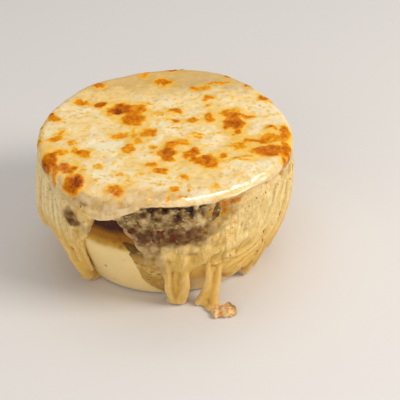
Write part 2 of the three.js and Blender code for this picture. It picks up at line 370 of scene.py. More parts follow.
crock = {
    "rimRadius": 57.3,
    "height": 57,
    "shoulder": 33,  # the straight collar stands on the tapered body here
    "baseRadius": 44,
    "roundness": 1.35,
    "wall": 5,
    "floor": 7,
    "rimRound": 2.5,
    "footRadius": 33,
    "footRecess": 2,
    "bead": 0.35,  # soft ridge where collar and body meet
    "turns": 192,
    "cream": (0.86, 0.64, 0.28),  # below, on the body
    "warmCream": (0.80, 0.57, 0.21),
    "creamSpeck": (0.34, 0.19, 0.06),
    "ochre": (0.56, 0.31, 0.035),  # the edge of the brown, where it thins
    "shadedOchre": (0.31, 0.115, 0.004),
    "brown": (0.050, 0.013, 0.006),  # above, on the collar: brown glaze, painted near black as the shade under the lip
    "brownSpeck": (0.13, 0.042, 0.006),
    "bareFoot": (0.50, 0.40, 0.28),
}


def wallRadius(z):
    up = np.clip(z / crock["shoulder"], 0, 1)
    widening = crock["rimRadius"] - crock["baseRadius"]
    return crock["baseRadius"] + widening * (1 - (1 - up) ** crock["roundness"])


def makeGlaze():
    material, at = newMaterial("crockGlaze")
    z = heightOf(at)
    wander = (at.noise(90, 2) - 0.5) * 1.6
    body = (z + wander).between(34.6, 31.8)
    foot = z.between(1.3, 0.9)
    # The collar's glaze darkens upwards from ochre to near black, and that darkening is painted shade under
    # the overhanging lip
    ochre = (z + wander * 2).between(33, 39).mix(crock["ochre"], crock["shadedOchre"])
    brown = layered(ochre, [
        ((z + wander * 3).between(40, 45), crock["brown"]),
        (at.noise(420, 4).between(0.45, 0.75) * 0.5, crock["brownSpeck"]),
    ])
    cream = layered(crock["cream"], [
        (at.noise(60, 3).between(0.35, 0.7), crock["warmCream"]),
        (at.noise(260, 2, 0.4).between(0.70, 0.78), crock["creamSpeck"]),
    ])
    relief = at.noise(180, 3) + at.noise(900, 2) * 0.25
    finishMaterial(at, {
        "Base Color": layered(brown, [(body, cream), (foot, crock["bareFoot"])]),
        "Roughness": foot * 0.5 + 0.24 + (at.noise(120, 2) - 0.5) * 0.12,
        "Specular IOR Level": 0.12,
        "Coat Weight": body * 0.2 + 0.03,
        "Coat Roughness": 0.08,
        "Normal": relief.bump(0.00025, 0.25),
    })
    return material


def crockProfile():
    radius, wall, floor = crock["rimRadius"], crock["wall"], crock["floor"]
    foot, recess, base = crock["footRadius"], crock["footRecess"], crock["baseRadius"]
    shoulder, bead = crock["shoulder"], crock["bead"]
    profile = [(0, recess), (foot - 2.5, recess), (foot - 0.6, 0.5), (foot, 0)]
    profile += [(base - 1.6, 0), (base - 0.4, 0.35)]
    profile += [(wallRadius(z), z) for z in np.linspace(1.2, shoulder - 1.2, 22)]
    profile += [(radius + bead * 0.6, shoulder - 0.6), (radius + bead, shoulder),
                (radius + bead * 0.6, shoulder + 0.7), (radius, shoulder + 1.5)]
    profile += [(radius, 38), (radius, 40.4), (radius + 0.3, 41.2), (radius, 42), (radius, 47), (radius, 52)]
    rim = crock["rimRound"]
    middle, top = radius - wall / 2, crock["height"] - rim
    for a in np.linspace(0, math.pi, 9):
        profile.append((middle + rim * math.cos(a), top + rim * math.sin(a)))
    profile += [(wallRadius(z) - wall, z) for z in np.linspace(shoulder, floor + 5, 8)]
    inside = profile[-1][0]
    profile += [(inside - 1.6, floor + 1.6), (inside - 4.5, floor), (0, floor)]
    return profile


crockMesh = spunRing(crockProfile(), crock["turns"], "crockBody")
crockPiece = makePiece(crockMesh, "crockBody", makeGlaze())
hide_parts("crock")
print("crock thrown and glazed")


# Where the onions went over the rim

# Their lower edge, as angle and height
spillHem = [(-23, 54), (-21, 49), (-18, 47), (-14, 42.5), (-10, 39), (-3, 41), (3, 40), (9, 39), (16, 39.5),
            (20, 42), (25, 47), (32, 51), (48, 54)]
spill = {"from": -23, "to": 48, "proud": 2.4}

onions = {
    "level": 58.7,
    "pieces": 300,
    "shreds": 150,
    "length": (2.5, 6.5),
    "width": (0.7, 1.5),
    "thickness": 0.4,
    "soakedEnough": 0.72,  # no loose shreds where the cheese is cleaner than this
    "redBits": [(-3.8, 44.7), (-15.5, 46.4), (1.6, 43.8), (-5.6, 43.6), (-4.6, 46)],  # cooked red-brown
    "highFrom": 49,  # the pieces above this height are bigger
    "highSizes": (1.6, 3.4),
    "lowSizes": (1.3, 2.8),
    "patchPieces": 14,  # the ones that show through the cheese on the left
    "patchAngle": -45.8,
    "patchHeight": 43.8,
    "hollow": (1.6, 1.5),  # half width and half height of the hollows
    "voxel": 0.42,
    "softening": 4,
    "creaseReach": 12,
    "creaseDepth": 0.25,
    "tones": [  # from soaked brown to pale olive
        (0, (0.016, 0.006, 0.002)),
        (0.2, (0.075, 0.030, 0.007)),
        (0.38, (0.160, 0.076, 0.016)),
        (0.55, (0.27, 0.158, 0.050)),
        (0.72, (0.42, 0.285, 0.120)),
        (1, (0.64, 0.46, 0.22)),
    ],
    "soaked": [  # the onions that lie under the others, painted near black as the shade in the gaps between them
        (0.36, (0.020, 0.008, 0.006)),
        (0.50, (0.070, 0.030, 0.014)),
        (0.66, (0.15, 0.075, 0.030)),
    ],
    "plum": (0.185, 0.062, 0.020),  # half way down
    "ochre": (0.42, 0.235, 0.062),  # at the foot
    "fibre": (0.11, 0.055, 0.028),
    "redBit": (0.15, 0.026, 0.005),
}

# Hollows between the onions under the lip: angle, height. Besides being sunk in, they are painted dark as
# shade.
onionHollows = [(-18.3, 55.1), (-10.4, 55.2), (-6.5, 56.6), (-1, 57.2), (4.5, 54.4), (10.6, 56.2),
                (16.3, 54.4)]

# Where they are soaked dark, or pale below 0: angle, height, half width, half height, how dark. The pale
# ones in the middle band are partly painted highlights on the wet onions.
soakedPlaces = [
    (-15.5, 46.4, 1.5, 1.8, 0.4), (-9, 46.5, 2.5, 2, 0.28), (-3.8, 44, 1.7, 2.2, 0.42),
    (2, 44.4, 2.2, 2.2, 0.35), (8, 44.6, 2.5, 1.5, 0.35), (13, 42.8, 2.5, 1.3, 0.3),
    (-3.4, 37, 1.3, 4.5, 0.35), (-8, 38, 1.1, 3.5, 0.25), (-12, 41, 2.5, 2.5, 0.25),
    (3.4, 38.6, 1, 2.5, 0.2), (10.6, 54, 0.75, 3.5, 0.35), (20.5, 56.6, 3, 1.7, 0.45),
    (21.3, 53, 2.5, 1.5, 0.3), (17.6, 50, 2, 1.5, 0.2), (-14, 52.6, 2, 1.5, -0.15),
    (-3, 52.4, 2, 1.4, -0.22), (8, 50, 1.5, 3, -0.2), (14, 51, 1.5, 3, -0.2), (-12, 47, 1, 1, -0.3),
    (-8.5, 48, 1.2, 0.8, -0.25), (-5.5, 45.6, 0.7, 1.3, -0.3), (-1, 46.8, 0.8, 1.2, -0.25),
    (5, 46.6, 1.2, 0.8, -0.3), (-17.5, 45, 0.7, 1.5, -0.25), (-20.5, 49, 1.5, 2.5, 0.05),
    (-10, 50.5, 1.5, 1, -0.1), (-13, 33, 2, 3, 0.2), (-10, 26, 1.5, 2.5, 0.1), (-6, 30, 1.5, 2.5, -0.1),
]


def inSpill(angle):
    return plateau(angle, -24, -20, 46, 52)


def spillFloor(angle):
    return np.interp(angle, *zip(*spillHem))


def hollowShare(angle, z):
    return sum(placeShare(angle, z, (*hollow, *onions["hollow"])) for hollow in onionHollows)


def heapDepth(angle, z):
    # how far the spilled onions stand out from the collar
    room = np.minimum(z - spillFloor(angle), np.minimum(angle - spill["from"], spill["to"] - angle))
    rounded = roundedOff(room + 1.5, 3)
    lump = noiseSum(angle, z, (1.1, 4.6, 3.8, 41), (0.8, 2.2, 2, 42))
    thinner = 1 - 0.35 * smoothStep(angle, 18, spill["to"])
    tucked = 1 - 0.55 * smoothStep(z, 46, 56)  # drawn back under the lip
    depth = (spill["proud"] + lump) * thinner * tucked * rounded - 2.2 * hollowShare(angle, z) * rounded
    return np.where(rounded > 0, np.maximum(depth, 0.2 * rounded), -1.2)


def onionTone(angle, z):
    # 0 where the onions are soaked dark or lie deep in the hollows, which are painted dark as shade, 1 where
    # they are pale
    tone = 0.57 + noiseSum(angle, z, (0.24, 3.4, 2.8, 71), (0.2, 1.7, 1.5, 72))
    gap = z - spillFloor(angle)
    tone = tone + 0.06 * smoothStep(angle, 12, 24)
    tone = tone + 0.18 * smoothStep(-gap, 0, 3) * smoothStep(angle, -8, 0)
    tone = tone + 0.14 * (1 - smoothStep(gap, 0, 2.6))
    tone = tone - 0.1 * plateau(z, 38, 41, 46, 49)
    tone = tone - 0.6 * hollowShare(angle, z) - placesShare(angle, z, soakedPlaces)
    patch = placeShare(angle, z, (onions["patchAngle"], onions["patchHeight"], 5, 6))
    return np.clip(tone - 0.26 * patch, 0, 1)


def soakedShare(angle, z):
    # how far the colour of the onions has gone into the cheese over them
    gap = z - spillFloor(angle)
    warp = noiseSum(angle, z, (1.8, 3, 3, 73), (0.8, 1.4, 1.4, 74))
    core = smoothStep(gap + warp, -4.5, 2.5) * smoothStep(angle + 0.4 * warp, -25, -22.5)
    core = core * (1 - 0.42 * smoothStep(angle + warp, 9, 20) - 0.35 * smoothStep(angle, 28, 40))
    runs = 0.85 * smoothStep(noiseOver(angle, z, 1.6, 9, 65), -0.1, 0.6) * smoothStep(gap, -15, -3)
    runs = runs * (1 - 0.35 * smoothStep(angle, 2, 14) - 0.65 * smoothStep(angle, 20, 30))
    low = 0.9 * smoothStep(z + warp, 16, 24) * (1 - smoothStep(angle + warp, -5, 2))  # down the left edge
    rim = -16.5 + 1.2 * (z - 55)  # where the roll of the lip ends
    offLip = 1 - smoothStep(z, 51, 53) * (1 - smoothStep(angle - rim, -1.5, 1))
    underLip = 0.75 * placeShare(angle, z, (20, 57.4, 7, 2.4))
    left = smoothStep(angle, -25, -21) * offLip
    share = np.maximum(np.maximum(core, runs), np.maximum(low, underLip)) * left
    sideways, upwards = angle - onions["patchAngle"], z - onions["patchHeight"]
    slant, across = 0.79 * sideways - 0.61 * upwards, 0.61 * sideways + 0.79 * upwards
    hole = np.exp(-((slant / 4.2) ** 2) - ((across + 0.4 * warp) / 2.9) ** 2)
    return np.clip(np.maximum(share, 1.7 * hole), 0, 1)


def onionColour(at, shade):
    height = heightOf(at)
    return layered(shade.ramp(onions["tones"]), [
        (height.between(51, 46) * height.between(33, 41) * 0.36, onions["plum"]),
        (height.between(38, 31) * 0.5, onions["ochre"]),
    ])


# The melted cheese: a lid that droops over the rim in front, and a curtain down the outside

cheese = {
    "voxel": 0.62,
    "softening": 3,
    "hiddenKept": 0.1,  # share of the faces kept where the cheese doesn't show
    "creaseReach": 20,
    "creaseDepth": 0.45,
}

lid = {
    "top": 62,
    "radius": 60.7,
    "underside": 59,
    "soupEdge": 51.7,
    "lip": 57.8,
    "rollIn": 4.6,  # the edge rolls over softly: how far in it starts, and how far down it goes
    "rollDown": 3,
    "backRise": 0.9,
    "droopDepth": 7.2,
    "droopAngle": -31,
    "droopLeft": 19,
    "droopRight": 10,
    "turns": 300,
    "relief": 0.3,  # unevenness of the crust
    "puff": 0.5,  # how far the browned bubbles stand up
}
blister = {"angle": 156, "height": 1.2, "width": 17, "out": 1.1}

curtain = {
    "thickness": 2.5,
    "topThickness": 3.3,  # flush with the lid, where the two run together
    "bulgeAngle": -76,
    "bulgeSpread": 24,
    "bulge": 1.5,
    "folds": 2.6,
    "strings": 0.7,
    "lumps": 0.8,
    "edge": 2.3,  # how far in from its hem the curtain reaches full thickness
    "openHem": 50,
    "flare": 0.62,
    "groove": 1.5,  # how far it stays back under the lip
    "film": 0.9,  # thin cheese that ran on below the thick part, in front
    "sunk": 1.3,  # depth inside the crock where there is no cheese
    "embed": 2.6,  # depth of the curtain's back inside the crock
    "turns": 420,
}

# Each drip of the curtain: angle, height of its tip, half width of its straight part,
# flare to the left and right, and the heights that the two flares climb to.
drips = [
    (3.5, 13, 6.5, 20, 6, 50, 27),
    (23.5, 24, 8.5, 3, 8, 27.5, 14),
    (36.5, 6, 5.5, 6, 6, 14, 12),
    (47, 6, 6, 6, 10, 12, 22),
    (58, 1, 6, 9, 10, 20, 20),
    (75, 3, 6, 9, 11, 24, 24),
    (93, 12, 5, 10, 12, 30, 30),
    (110, 4, 5, 12, 14, 36, 36),
    (131, 20, 5, 14, 12, 38, 38),
    (150, 10, 5, 12, 12, 36, 36),
    (168, 12, 4, 12, 13, 40, 40),
    (188, 18, 6, 13, 12, 40, 40),
    (207, 6, 5, 12, 13, 36, 36),
    (226, 22, 5, 12, 12, 38, 38),
    (245, 10, 5, 13, 12, 36, 36),
    (262, 20, 4, 11, 11, 38, 38),
    (279, 27, 5, 10, 9, 40, 40),
    (293, 8, 5, 11, 9, 30, 30),
    (307.5, 1, 4.5, 10, 15, 50, 50),
]

# Strands laid on the curtain one by one: angle, distance from the axis, height and radius of each point.
heroStrands = [
    # front drip, two legs with a web between them that meet at the foot
    [(-1, 58.6, 31, 0.8), (0.4, 57.2, 24, 1.1), (-0.6, 55, 16, 1.7),
     (-0.6, 53.2, 8.5, 2), (2.2, 51.6, 2.4, 2.2)],
    [(6, 58.8, 36, 0.9), (7, 58, 27, 1.4), (7.6, 56, 18, 2.2), (7.6, 54.2, 10, 2.7), (5.8, 52.2, 3, 3)],
    [(3.4, 57.6, 28, 0.8), (3.4, 55.6, 20, 1), (3.2, 53.8, 13, 1.2),
     (3, 52.4, 7, 1.4), (3.4, 51.4, 3, 1.4)],
    # second drip, wide at the top and running out to the left on the surface
    [(18.5, 57.2, 25, 0.9), (19.2, 56.2, 17, 1.7), (18.6, 55.4, 10, 2.4),
     (17, 54.8, 4, 2.4), (14.4, 54.6, 1.4, 2)],
    [(24, 57.4, 24, 0.9), (23.8, 56.4, 16, 1.8), (22.4, 56.4, 9, 2.4),
     (20.8, 57.2, 3.8, 2.3), (21, 58.6, 2, 2.4)],
    [(21.2, 56.2, 22, 1), (21.2, 55.2, 14, 1.4), (20.6, 55.2, 8, 1.6)],
    # the lip's thick roll at the front left
    [(-66, 59.6, 58.6, 1.2), (-59, 60, 57.4, 1.6), (-52, 60.4, 55.8, 1.9), (-45, 60.7, 54, 2.1),
     (-39, 60.9, 52.7, 2.2), (-33, 61, 51.9, 2.3), (-28, 61, 52.2, 2.2), (-23.5, 60.8, 53.8, 2),
     (-19, 60.2, 56.4, 1.7), (-13, 59.4, 58.4, 1.3)],
    # along the left edge of the onions, from the lip to the front drip
    [(-22.8, 58.4, 55, 0.8), (-21.8, 59.2, 52, 1.2), (-18.6, 59, 48.6, 0.8), (-18.6, 59.3, 45.4, 1.5),
     (-14.6, 58.9, 41.6, 0.9), (-13.6, 58.9, 37.6, 1.3), (-10.2, 58.5, 34, 0.8), (-9.4, 58.3, 29.5, 1.2)],
    # across the onions from the lip to the right
    [(5, 58.6, 56, 0.6), (8, 59.3, 52, 0.9), (11.3, 59.7, 47.8, 1),
     (15, 59.8, 43.6, 1.1), (18, 59.6, 39, 1)],
    # left side: the long drip and what hangs beside it
    [(-69, 61.2, 52, 0.9), (-67.6, 62.2, 43, 1.4), (-66, 62.4, 36, 1.7), (-64, 61, 29.5, 1.5)],
    [(-61, 61.2, 50, 0.8), (-60, 61.8, 41, 1.5), (-58.4, 61.2, 32, 1.6),
     (-55.6, 57.6, 21, 1.5), (-52.4, 53.2, 11, 1.4)],
    [(-53, 61.6, 50, 0.9), (-51.8, 62, 43, 1.3), (-50.4, 61.6, 35, 1.4), (-48.6, 59.8, 27, 1.3)],
    [(-80.6, 60.8, 54, 0.8), (-79.4, 62.2, 45, 1.2), (-78.6, 62.4, 38, 1.5), (-78, 61.4, 33, 1.4)],
    [(-57, 61, 50, 1), (-55, 61.9, 40, 1.8), (-53.4, 60.9, 30, 2.2), (-51, 58, 20, 2.6),
     (-49.2, 54, 11, 3.3), (-49.8, 50.4, 5, 3.6)],
    [(-48, 60.4, 44, 0.9), (-47, 60.4, 36, 1.5), (-46.2, 59.2, 28, 1.7),
     (-46, 56.8, 20, 1.9), (-47, 53.4, 12, 1.9)],
    [(-40, 59, 40, 0.7), (-42.4, 59, 33, 1.1), (-43.4, 57.4, 26, 1.2),
     (-43.8, 54.8, 18, 1.2), (-45, 51.4, 10, 1.1)],
    [(-66, 60.6, 56, 0.9), (-64.6, 62, 42, 1.7), (-63, 61, 32, 2),
     (-60.4, 57.2, 21, 1.9), (-56, 52.6, 11, 1.6)],
    [(-76, 60.4, 56, 0.9), (-75, 62.3, 44, 1.8), (-74, 62.3, 35, 2.3),
     (-73, 60.8, 28, 2.9), (-72.6, 59.9, 25.5, 2.4)],
    [(-86, 60.4, 55, 0.9), (-84, 61.9, 43, 1.5), (-82.6, 61.2, 34, 1.7), (-82, 59.8, 29, 1.3)],
    [(-70, 61, 30, 0.8), (-66, 58.4, 23, 1.1), (-62, 54.7, 15, 1.1),
     (-58, 50.8, 7.5, 1.3), (-56.5, 48.4, 3, 1.5)],
    # right side: long folds that lean towards the front
    [(70, 60, 53, 0.9), (62, 60.6, 42, 1.4), (54, 59.9, 31, 1.6), (42, 58, 24, 1.4), (29, 56.4, 20, 1)],
    [(82, 60, 54, 0.9), (74, 60.8, 43, 1.5), (65, 59.8, 31, 1.6), (54, 57, 22.5, 1.5), (42, 54.2, 16, 1.1)],
    [(58, 60, 49, 0.8), (51, 60.6, 39, 1.2), (44, 60, 31, 1.4), (35, 59, 26.4, 1.2), (26, 58.2, 25, 0.8)],
    [(94, 60, 56, 0.9), (86, 60.8, 44, 1.6), (77, 59.6, 31, 1.6), (68, 56.2, 21, 1.5), (58, 52.4, 13, 1.2),
     (52, 49.4, 7, 1)],
    [(64, 59.8, 38, 0.6), (57, 59.4, 29, 1), (47, 57.4, 22, 1), (36, 55, 16, 0.9)],
    # back drip that hangs clear
    [(168, 59.6, 32, 1.2), (168, 57.6, 20, 2.2), (168, 54.6, 11, 2.4), (168, 51, 3, 2.9)],
]

# Lumps in the cheese: angle, distance from the axis, height, then width, height and depth
cheeseLumps = [
    (-48, 59.4, 45.4, 5.4, 6, 4.4), (-43.4, 59, 44.8, 6, 5.4, 4.4), (-39, 58.6, 46, 4.8, 5, 4),
    (-36.4, 58.4, 48.6, 4.4, 4.6, 3.6), (-42, 59, 40.4, 4, 4.4, 3), (-45.6, 59.8, 39.6, 4, 5, 3),
    (-34.6, 58, 50.4, 4, 3.4, 3.4), (11, 59.6, 36, 6, 4, 3), (20, 59.6, 33, 7, 4, 3),
    (28, 59.8, 29, 6, 4, 3), (15, 59.4, 30, 5, 3.6, 2.6), (35, 60, 36, 6, 5, 2.6),
    (-9, 59.2, 30, 5, 4, 2.6), (-3, 59, 33, 5, 4, 3),
]

# What has run out on the surface: x, y, length, width, height and turn
puddles = [
    (3.6, -49.8, 10.5, 6.5, 4.6, 0),
    (16.2, -52.6, 7.5, 5, 4, -35),
    (20.6, -58, 9.5, 5, 2.6, -32),
    (-36.8, -29.4, 8.6, 6.4, 7.6, 20),
]

# The browned bread at the end of the second drip
crustChunks = [
    {"x": 27, "y": -60, "length": 6.4, "width": 7, "height": 4, "turn": 28, "tip": -6},
    {"x": 22.8, "y": -61.4, "length": 6.4, "width": 4.8, "height": 2.6, "turn": 12, "tip": -4},
]

# Browned places of the crust: x, y, length, width, how dark (1 is nearly black), and the turn if any
brownedSpots = [
    (6, 59, 12, 4, 0.85), (0, 48, 9, 6, 0.6, -25), (-9, 55, 4, 5, 0.45), (-33, 46, 7, 5, 0.62, -10),
    (-36, 49, 3, 3, 0.5), (-41, 31, 8, 6, 0.55, -15), (-32, 28, 6, 4, 0.72, -15), (-23, 21, 5, 4, 0.95),
    (-18, 23, 15, 8, 0.55), (-15, 14, 10, 10, 0.64, -10), (-22, 23, 9, 8, 0.5), (-7, 28, 3, 3, 0.4),
    (-3, 17, 5, 6, 0.34), (5, 21, 7, 5, 0.58), (5, 11, 5, 4, 0.58), (13, 11, 7, 5, 0.62),
    (21, 13, 5, 7, 0.48), (31, 17, 9, 7, 0.55), (38, 14, 13, 3, 0.56, -5), (33, 8, 8, 10, 0.74),
    (34, 0, 4, 5, 0.6), (22, 31, 4, 4, 0.5), (21, 24, 3, 4, 0.42), (19, 40, 8, 3, 0.5, 5),
    (28, 44, 11, 2, 0.48, 8), (15, 40, 3, 4, 0.42), (32, 50, 5, 3, 0.6, -30), (42, 42, 4, 4, 0.6, -30),
    (50, 30, 5, 4, 0.66, -30), (54, 27, 3, 3, 0.45, -30), (51, 2, 6, 4, 0.54, -15), (57, -2, 5, 9, 0.62),
    (50, -8, 13, 8, 0.5), (48, -18, 14, 8, 0.66), (57, -16, 4, 10, 0.66), (55, -26, 3, 8, 0.62),
    (41, -8, 9, 4, 0.56, -12), (34, -12, 8, 7, 0.46), (27, -21, 5, 4, 0.54), (32, -25, 11, 2, 0.5),
    (37, -22, 5, 2, 0.42), (21, -26, 7, 10, 0.54), (16, -24, 9, 6, 0.6, -10), (12, -18, 6, 10, 0.6, -20),
    (7, -8, 9, 5, 0.46), (2, -12, 5, 10, 0.48), (1, -19, 8, 10, 0.66), (-6, -12, 4, 3, 0.36),
    (-7, -17, 4, 2, 0.34), (15, -2, 7, 2, 0.42, -8), (16, -5, 4, 2, 0.4), (6, 4, 5, 2, 0.34),
    (27, -1, 4, 2, 0.36), (-21, -1, 9, 6, 0.5, 5), (-15, 2, 2, 8, 0.42), (-8, 1, 8, 7, 0.52, 10),
    (-17, -14, 6, 9, 0.46), (-14, -6, 5, 6, 0.36), (-9, -8, 3, 2, 0.32), (-38, -16, 6, 6, 0.52),
    (-42, -14, 4, 5, 0.44), (-44, -7, 4, 4, 0.44), (-48, -15, 6, 4, 0.42), (-54, 16, 5, 6, 0.5, 30),
    (-55, 21, 4, 3, 0.8, 30), (-52, -2, 8, 4, 0.54, 25), (-50, 3, 5, 3, 0.4, 25), (-59, -3, 2, 8, 0.5),
    (-59, 9, 3, 4, 0.5, 30), (-54, -21, 7, 13, 0.76), (-51, -30, 3, 10, 0.56), (-45, -28, 8, 6, 0.64),
    (-42, -39, 8, 11, 0.78), (-38, -40, 4, 5, 0.42), (-37, -30, 4, 2, 0.36), (-22, -48, 8, 6, 0.56, -20),
    (-7, -28, 6, 4, 0.5), (-2, -33, 7, 5, 0.54), (8, -38, 4, 5, 0.48), (3, -48, 4, 4, 0.44),
    (10, -49, 2, 2, 0.4), (7, -55, 4, 4, 0.44), (0, -56, 3, 8, 0.34), (-8, -55, 2, 7, 0.3),
    (-16, -41, 4, 4, 0.36), (-22, -34, 4, 4, 0.36), (22, -47, 4, 4, 0.32), (-11, 21, 4, 3, 0.5),
    (-27, 18, 3, 3, 0.42), (-32, -40, 3, 3, 0.3), (-11, -34, 4, 3, 0.3), (-31, -28, 4, 3, 0.3),
    (-49, 12, 3, 2, 0.3), (-4, -43, 4, 2, 0.3),
]


def laceDepth(angle, z):
    # cheese that hangs over the onions in a ragged net
    gap = z - spillFloor(angle)
    cover = noiseSum(angle, z, (0.9, 3.4, 4.4, 44), (0.6, 1.6, 2.2, 45))
    cover = cover - 0.35 + 1.4 * smoothStep(angle, 6, 20) + 0.8 * (1 - smoothStep(gap, -1, 4))
    inside = smoothStep(gap, -2, 0.5) * plateau(angle, -26, -23, 46, 52)
    return (heapDepth(angle, z) + 0.7 * np.clip(cover * 2.6, -3, 1)) * inside - 1.3 * (1 - inside)


def droopAt(angle):
    off = turnedBy(angle, lid["droopAngle"])
    return bell(off, 0, np.where(off < 0, lid["droopLeft"], lid["droopRight"]))


def lipBottom(angle):
    return lid["lip"] - lid["droopDepth"] * droopAt(angle) + 1.2 * inSpill(angle)


def lipGroove(angle, z):
    # the cheese on the side stays behind the lip in front
    front = plateau(angle, -68, -58, 54, 72)
    return front * bell(z, lipBottom(angle) - 0.6, 1.7)


def lidEdge(angle):
    bulge = blister["out"] * bell(turnedBy(angle, blister["angle"]), 0, blister["width"])
    ripple = 0.3 * np.sin(3 * np.radians(angle) + 0.6)
    return lid["radius"] + ripple + bulge - 1.1 * inSpill(angle)


def wandered(x, y):
    # pushes the outlines of the browned places about, so that they are ragged
    sideways = noiseSum(x, y, (1.3, 3.6, 3.6, 51), (0.7, 1.6, 1.6, 52))
    forwards = noiseSum(x, y, (1.3, 3.6, 3.6, 53), (0.7, 1.6, 1.6, 54))
    return x + sideways, y + forwards


def brownedAt(x, y, inner, outer, strength):
    # full inside the inner share of a place's size, and gone at the outer
    x, y = wandered(x, y)
    bare = np.ones(len(x))
    for spotX, spotY, length, width, depth, *turn in brownedSpots:
        a = math.radians(sum(turn))
        along = ((x - spotX) * math.cos(a) + (y - spotY) * math.sin(a)) / (length / 2)
        across = ((y - spotY) * math.cos(a) - (x - spotX) * math.sin(a)) / (width / 2)
        away = np.sqrt(along ** 2 + across ** 2)
        bare *= 1 - np.clip(depth * strength, 0, 1) * (1 - smoothStep(away, inner, outer))
    return 1 - bare


def lidTemplate():
    top, edge, low = lid["top"], lid["radius"], lid["lip"]
    rollIn, rollDown = lid["rollIn"], lid["rollDown"]
    profile = [(0, top)] + [(r, top) for r in np.linspace(1.2, edge - rollIn - 0.7, 42)]
    for a in np.linspace(math.pi / 2, 0, 13):
        profile.append((edge - rollIn + rollIn * math.cos(a), top - rollDown + rollDown * math.sin(a)))
    for a in np.linspace(0, -math.pi / 2, 7)[1:]:
        profile.append((edge - 1.7 + 1.7 * math.cos(a), low + 1.4 + 1.4 * math.sin(a)))
    soupEdge, underside = lid["soupEdge"], lid["underside"]
    profile += [(57.4, low + 0.1), (57, 57), (soupEdge, 57), (soupEdge - 0.4, underside), (0, underside)]
    return spunRing(profile, lid["turns"], "lid")


def shapeLid(mesh):
    angle, radius, z = polar(readPoints(mesh))
    x, y = radius * np.sin(np.radians(angle)), -radius * np.cos(np.radians(angle))
    down = np.clip((lid["top"] - z) / 4.2, 0, 1)
    outer = smoothStep(radius, 49, 60)
    droop = droopAt(angle)
    still = np.zeros(len(angle))
    ragged = 0.6 * noiseAt(angle / 6, still, still + 3, 5) + 0.5 * noiseAt(angle / 2.3, still, still + 9, 6)
    lowered = droop * (2.4 * outer + (lid["droopDepth"] - 2.4) * down) + ragged * down
    lowered = lowered - 1.2 * inSpill(angle) * np.clip((61 - z) / 3, 0, 1)
    middle = around(blister["angle"], lid["radius"] - 6, 0)
    puff = blister["height"] * bell(np.hypot(x - middle.x, y - middle.y), 0, blister["width"])
    swell = 0.3 * np.sin(x / 9 + 1) * np.cos(y / 11) + 0.2 * np.sin((x + y) / 6.5)
    rise = lid["backRise"] * smoothStep(y, 0, lid["radius"])
    rise = rise + 1.1 * smoothStep(y, 15, 45) * smoothStep(radius, 50, 58)
    z = z - np.where(radius > 49, lowered, 0) + smoothStep(z, 58.6, 61.2) * (swell + puff + rise)
    radius = radius + (lidEdge(angle) - lid["radius"]) * outer + 0.7 * droop * smoothStep(radius, 54, 60)
    writePoints(mesh, fromPolar(angle, radius, z))
    return mesh


def curtainHem(angle):
    # height of the lower edge of the cheese, drip by drip
    hem = np.full(len(angle), float(curtain["openHem"]))
    for at, tip, core, left, right, crestLeft, crestRight in drips:
        off = turnedBy(angle, at)
        away = np.clip((np.abs(off) - core) / np.where(off < 0, left, right), 0, 1)
        low = tip + 2.2 * np.minimum(1, np.abs(off) / core) ** 4
        crest = np.where(off < 0, crestLeft, crestRight)
        edge = np.where(away < 1, low + (crest - low) * away ** curtain["flare"], curtain["openHem"])
        hem = np.minimum(hem, edge)
    return hem + 0.9 * noiseAlong(angle, 3.1, 11) + 0.8 * noiseAlong(angle, 1.2, 17)


def curtainHead(angle):
    # height the curtain reaches up to: over the onions it stops short in a ragged edge
    ragged = 2.2 * noiseAlong(angle, 3.2, 12, 4) + noiseAlong(angle, 1.4, 26)
    overOnions = spillFloor(angle) + 1.2 + ragged + 14 * smoothStep(angle, 20, 34)
    return np.where((angle > -33) & (angle < 48), np.minimum(overOnions, 62), 62)


def flowOf(angle, z):
    # follows a fold down the side: folds lean towards the front drips
    side = 1.1 * np.sin(np.radians(np.clip(angle, -100, 100)))
    lean = 0.5 * (48 - z) + 0.05 * np.maximum(36 - z, 0) ** 2
    return angle + side * lean + 3 * noiseOver(angle, z, 30, 25, 13)


def curtainBody(angle, z):
    # how thick the curtain is away from its edges
    flow = flowOf(angle, z)
    fold = np.abs(noiseOver(flow, z, 6.5, 45, 21))
    string = np.abs(noiseAt(flow / 3, z / 30, z * 0 + 5, 22))
    lump = noiseSum(angle, z, (1, 5.2, 4.8, 23), (0.6, 2.6, 2.4, 24))
    bulge = curtain["bulge"] * bell(turnedBy(angle, curtain["bulgeAngle"]), 0, curtain["bulgeSpread"])
    front = plateau(angle, -14, -4, 30, 50)
    body = curtain["thickness"] + bulge + curtain["folds"] * (fold - 0.33) * (1 - 0.45 * front)
    body = body + curtain["strings"] * (string - 0.4)
    body = body + curtain["lumps"] * lump * (0.45 + 0.75 * front) + 0.4 * front
    body = np.maximum(body, 0.8) * (1 - 0.35 * (1 - smoothStep(z, 0, 18)))
    closeToLid = smoothStep(z, 49, 57) * smoothStep(np.abs(turnedBy(angle, 0)), 52, 66)
    body = body + (curtain["topThickness"] - body) * closeToLid
    underRoll = plateau(angle, -68, -60, -26, -20)
    return body * (1 - 0.4 * underRoll * smoothStep(z, lipBottom(angle) - 6, lipBottom(angle) - 1))


def filmUnder(angle, z):
    # the thin cheese between the two front drips
    foot = smoothStep(z + 0.8 * noiseAlong(angle, 3, 25), 11.5, 13.5)
    return curtain["film"] * plateau(angle, 7, 11, 33, 38) * foot * (1 - smoothStep(z, 27, 30))


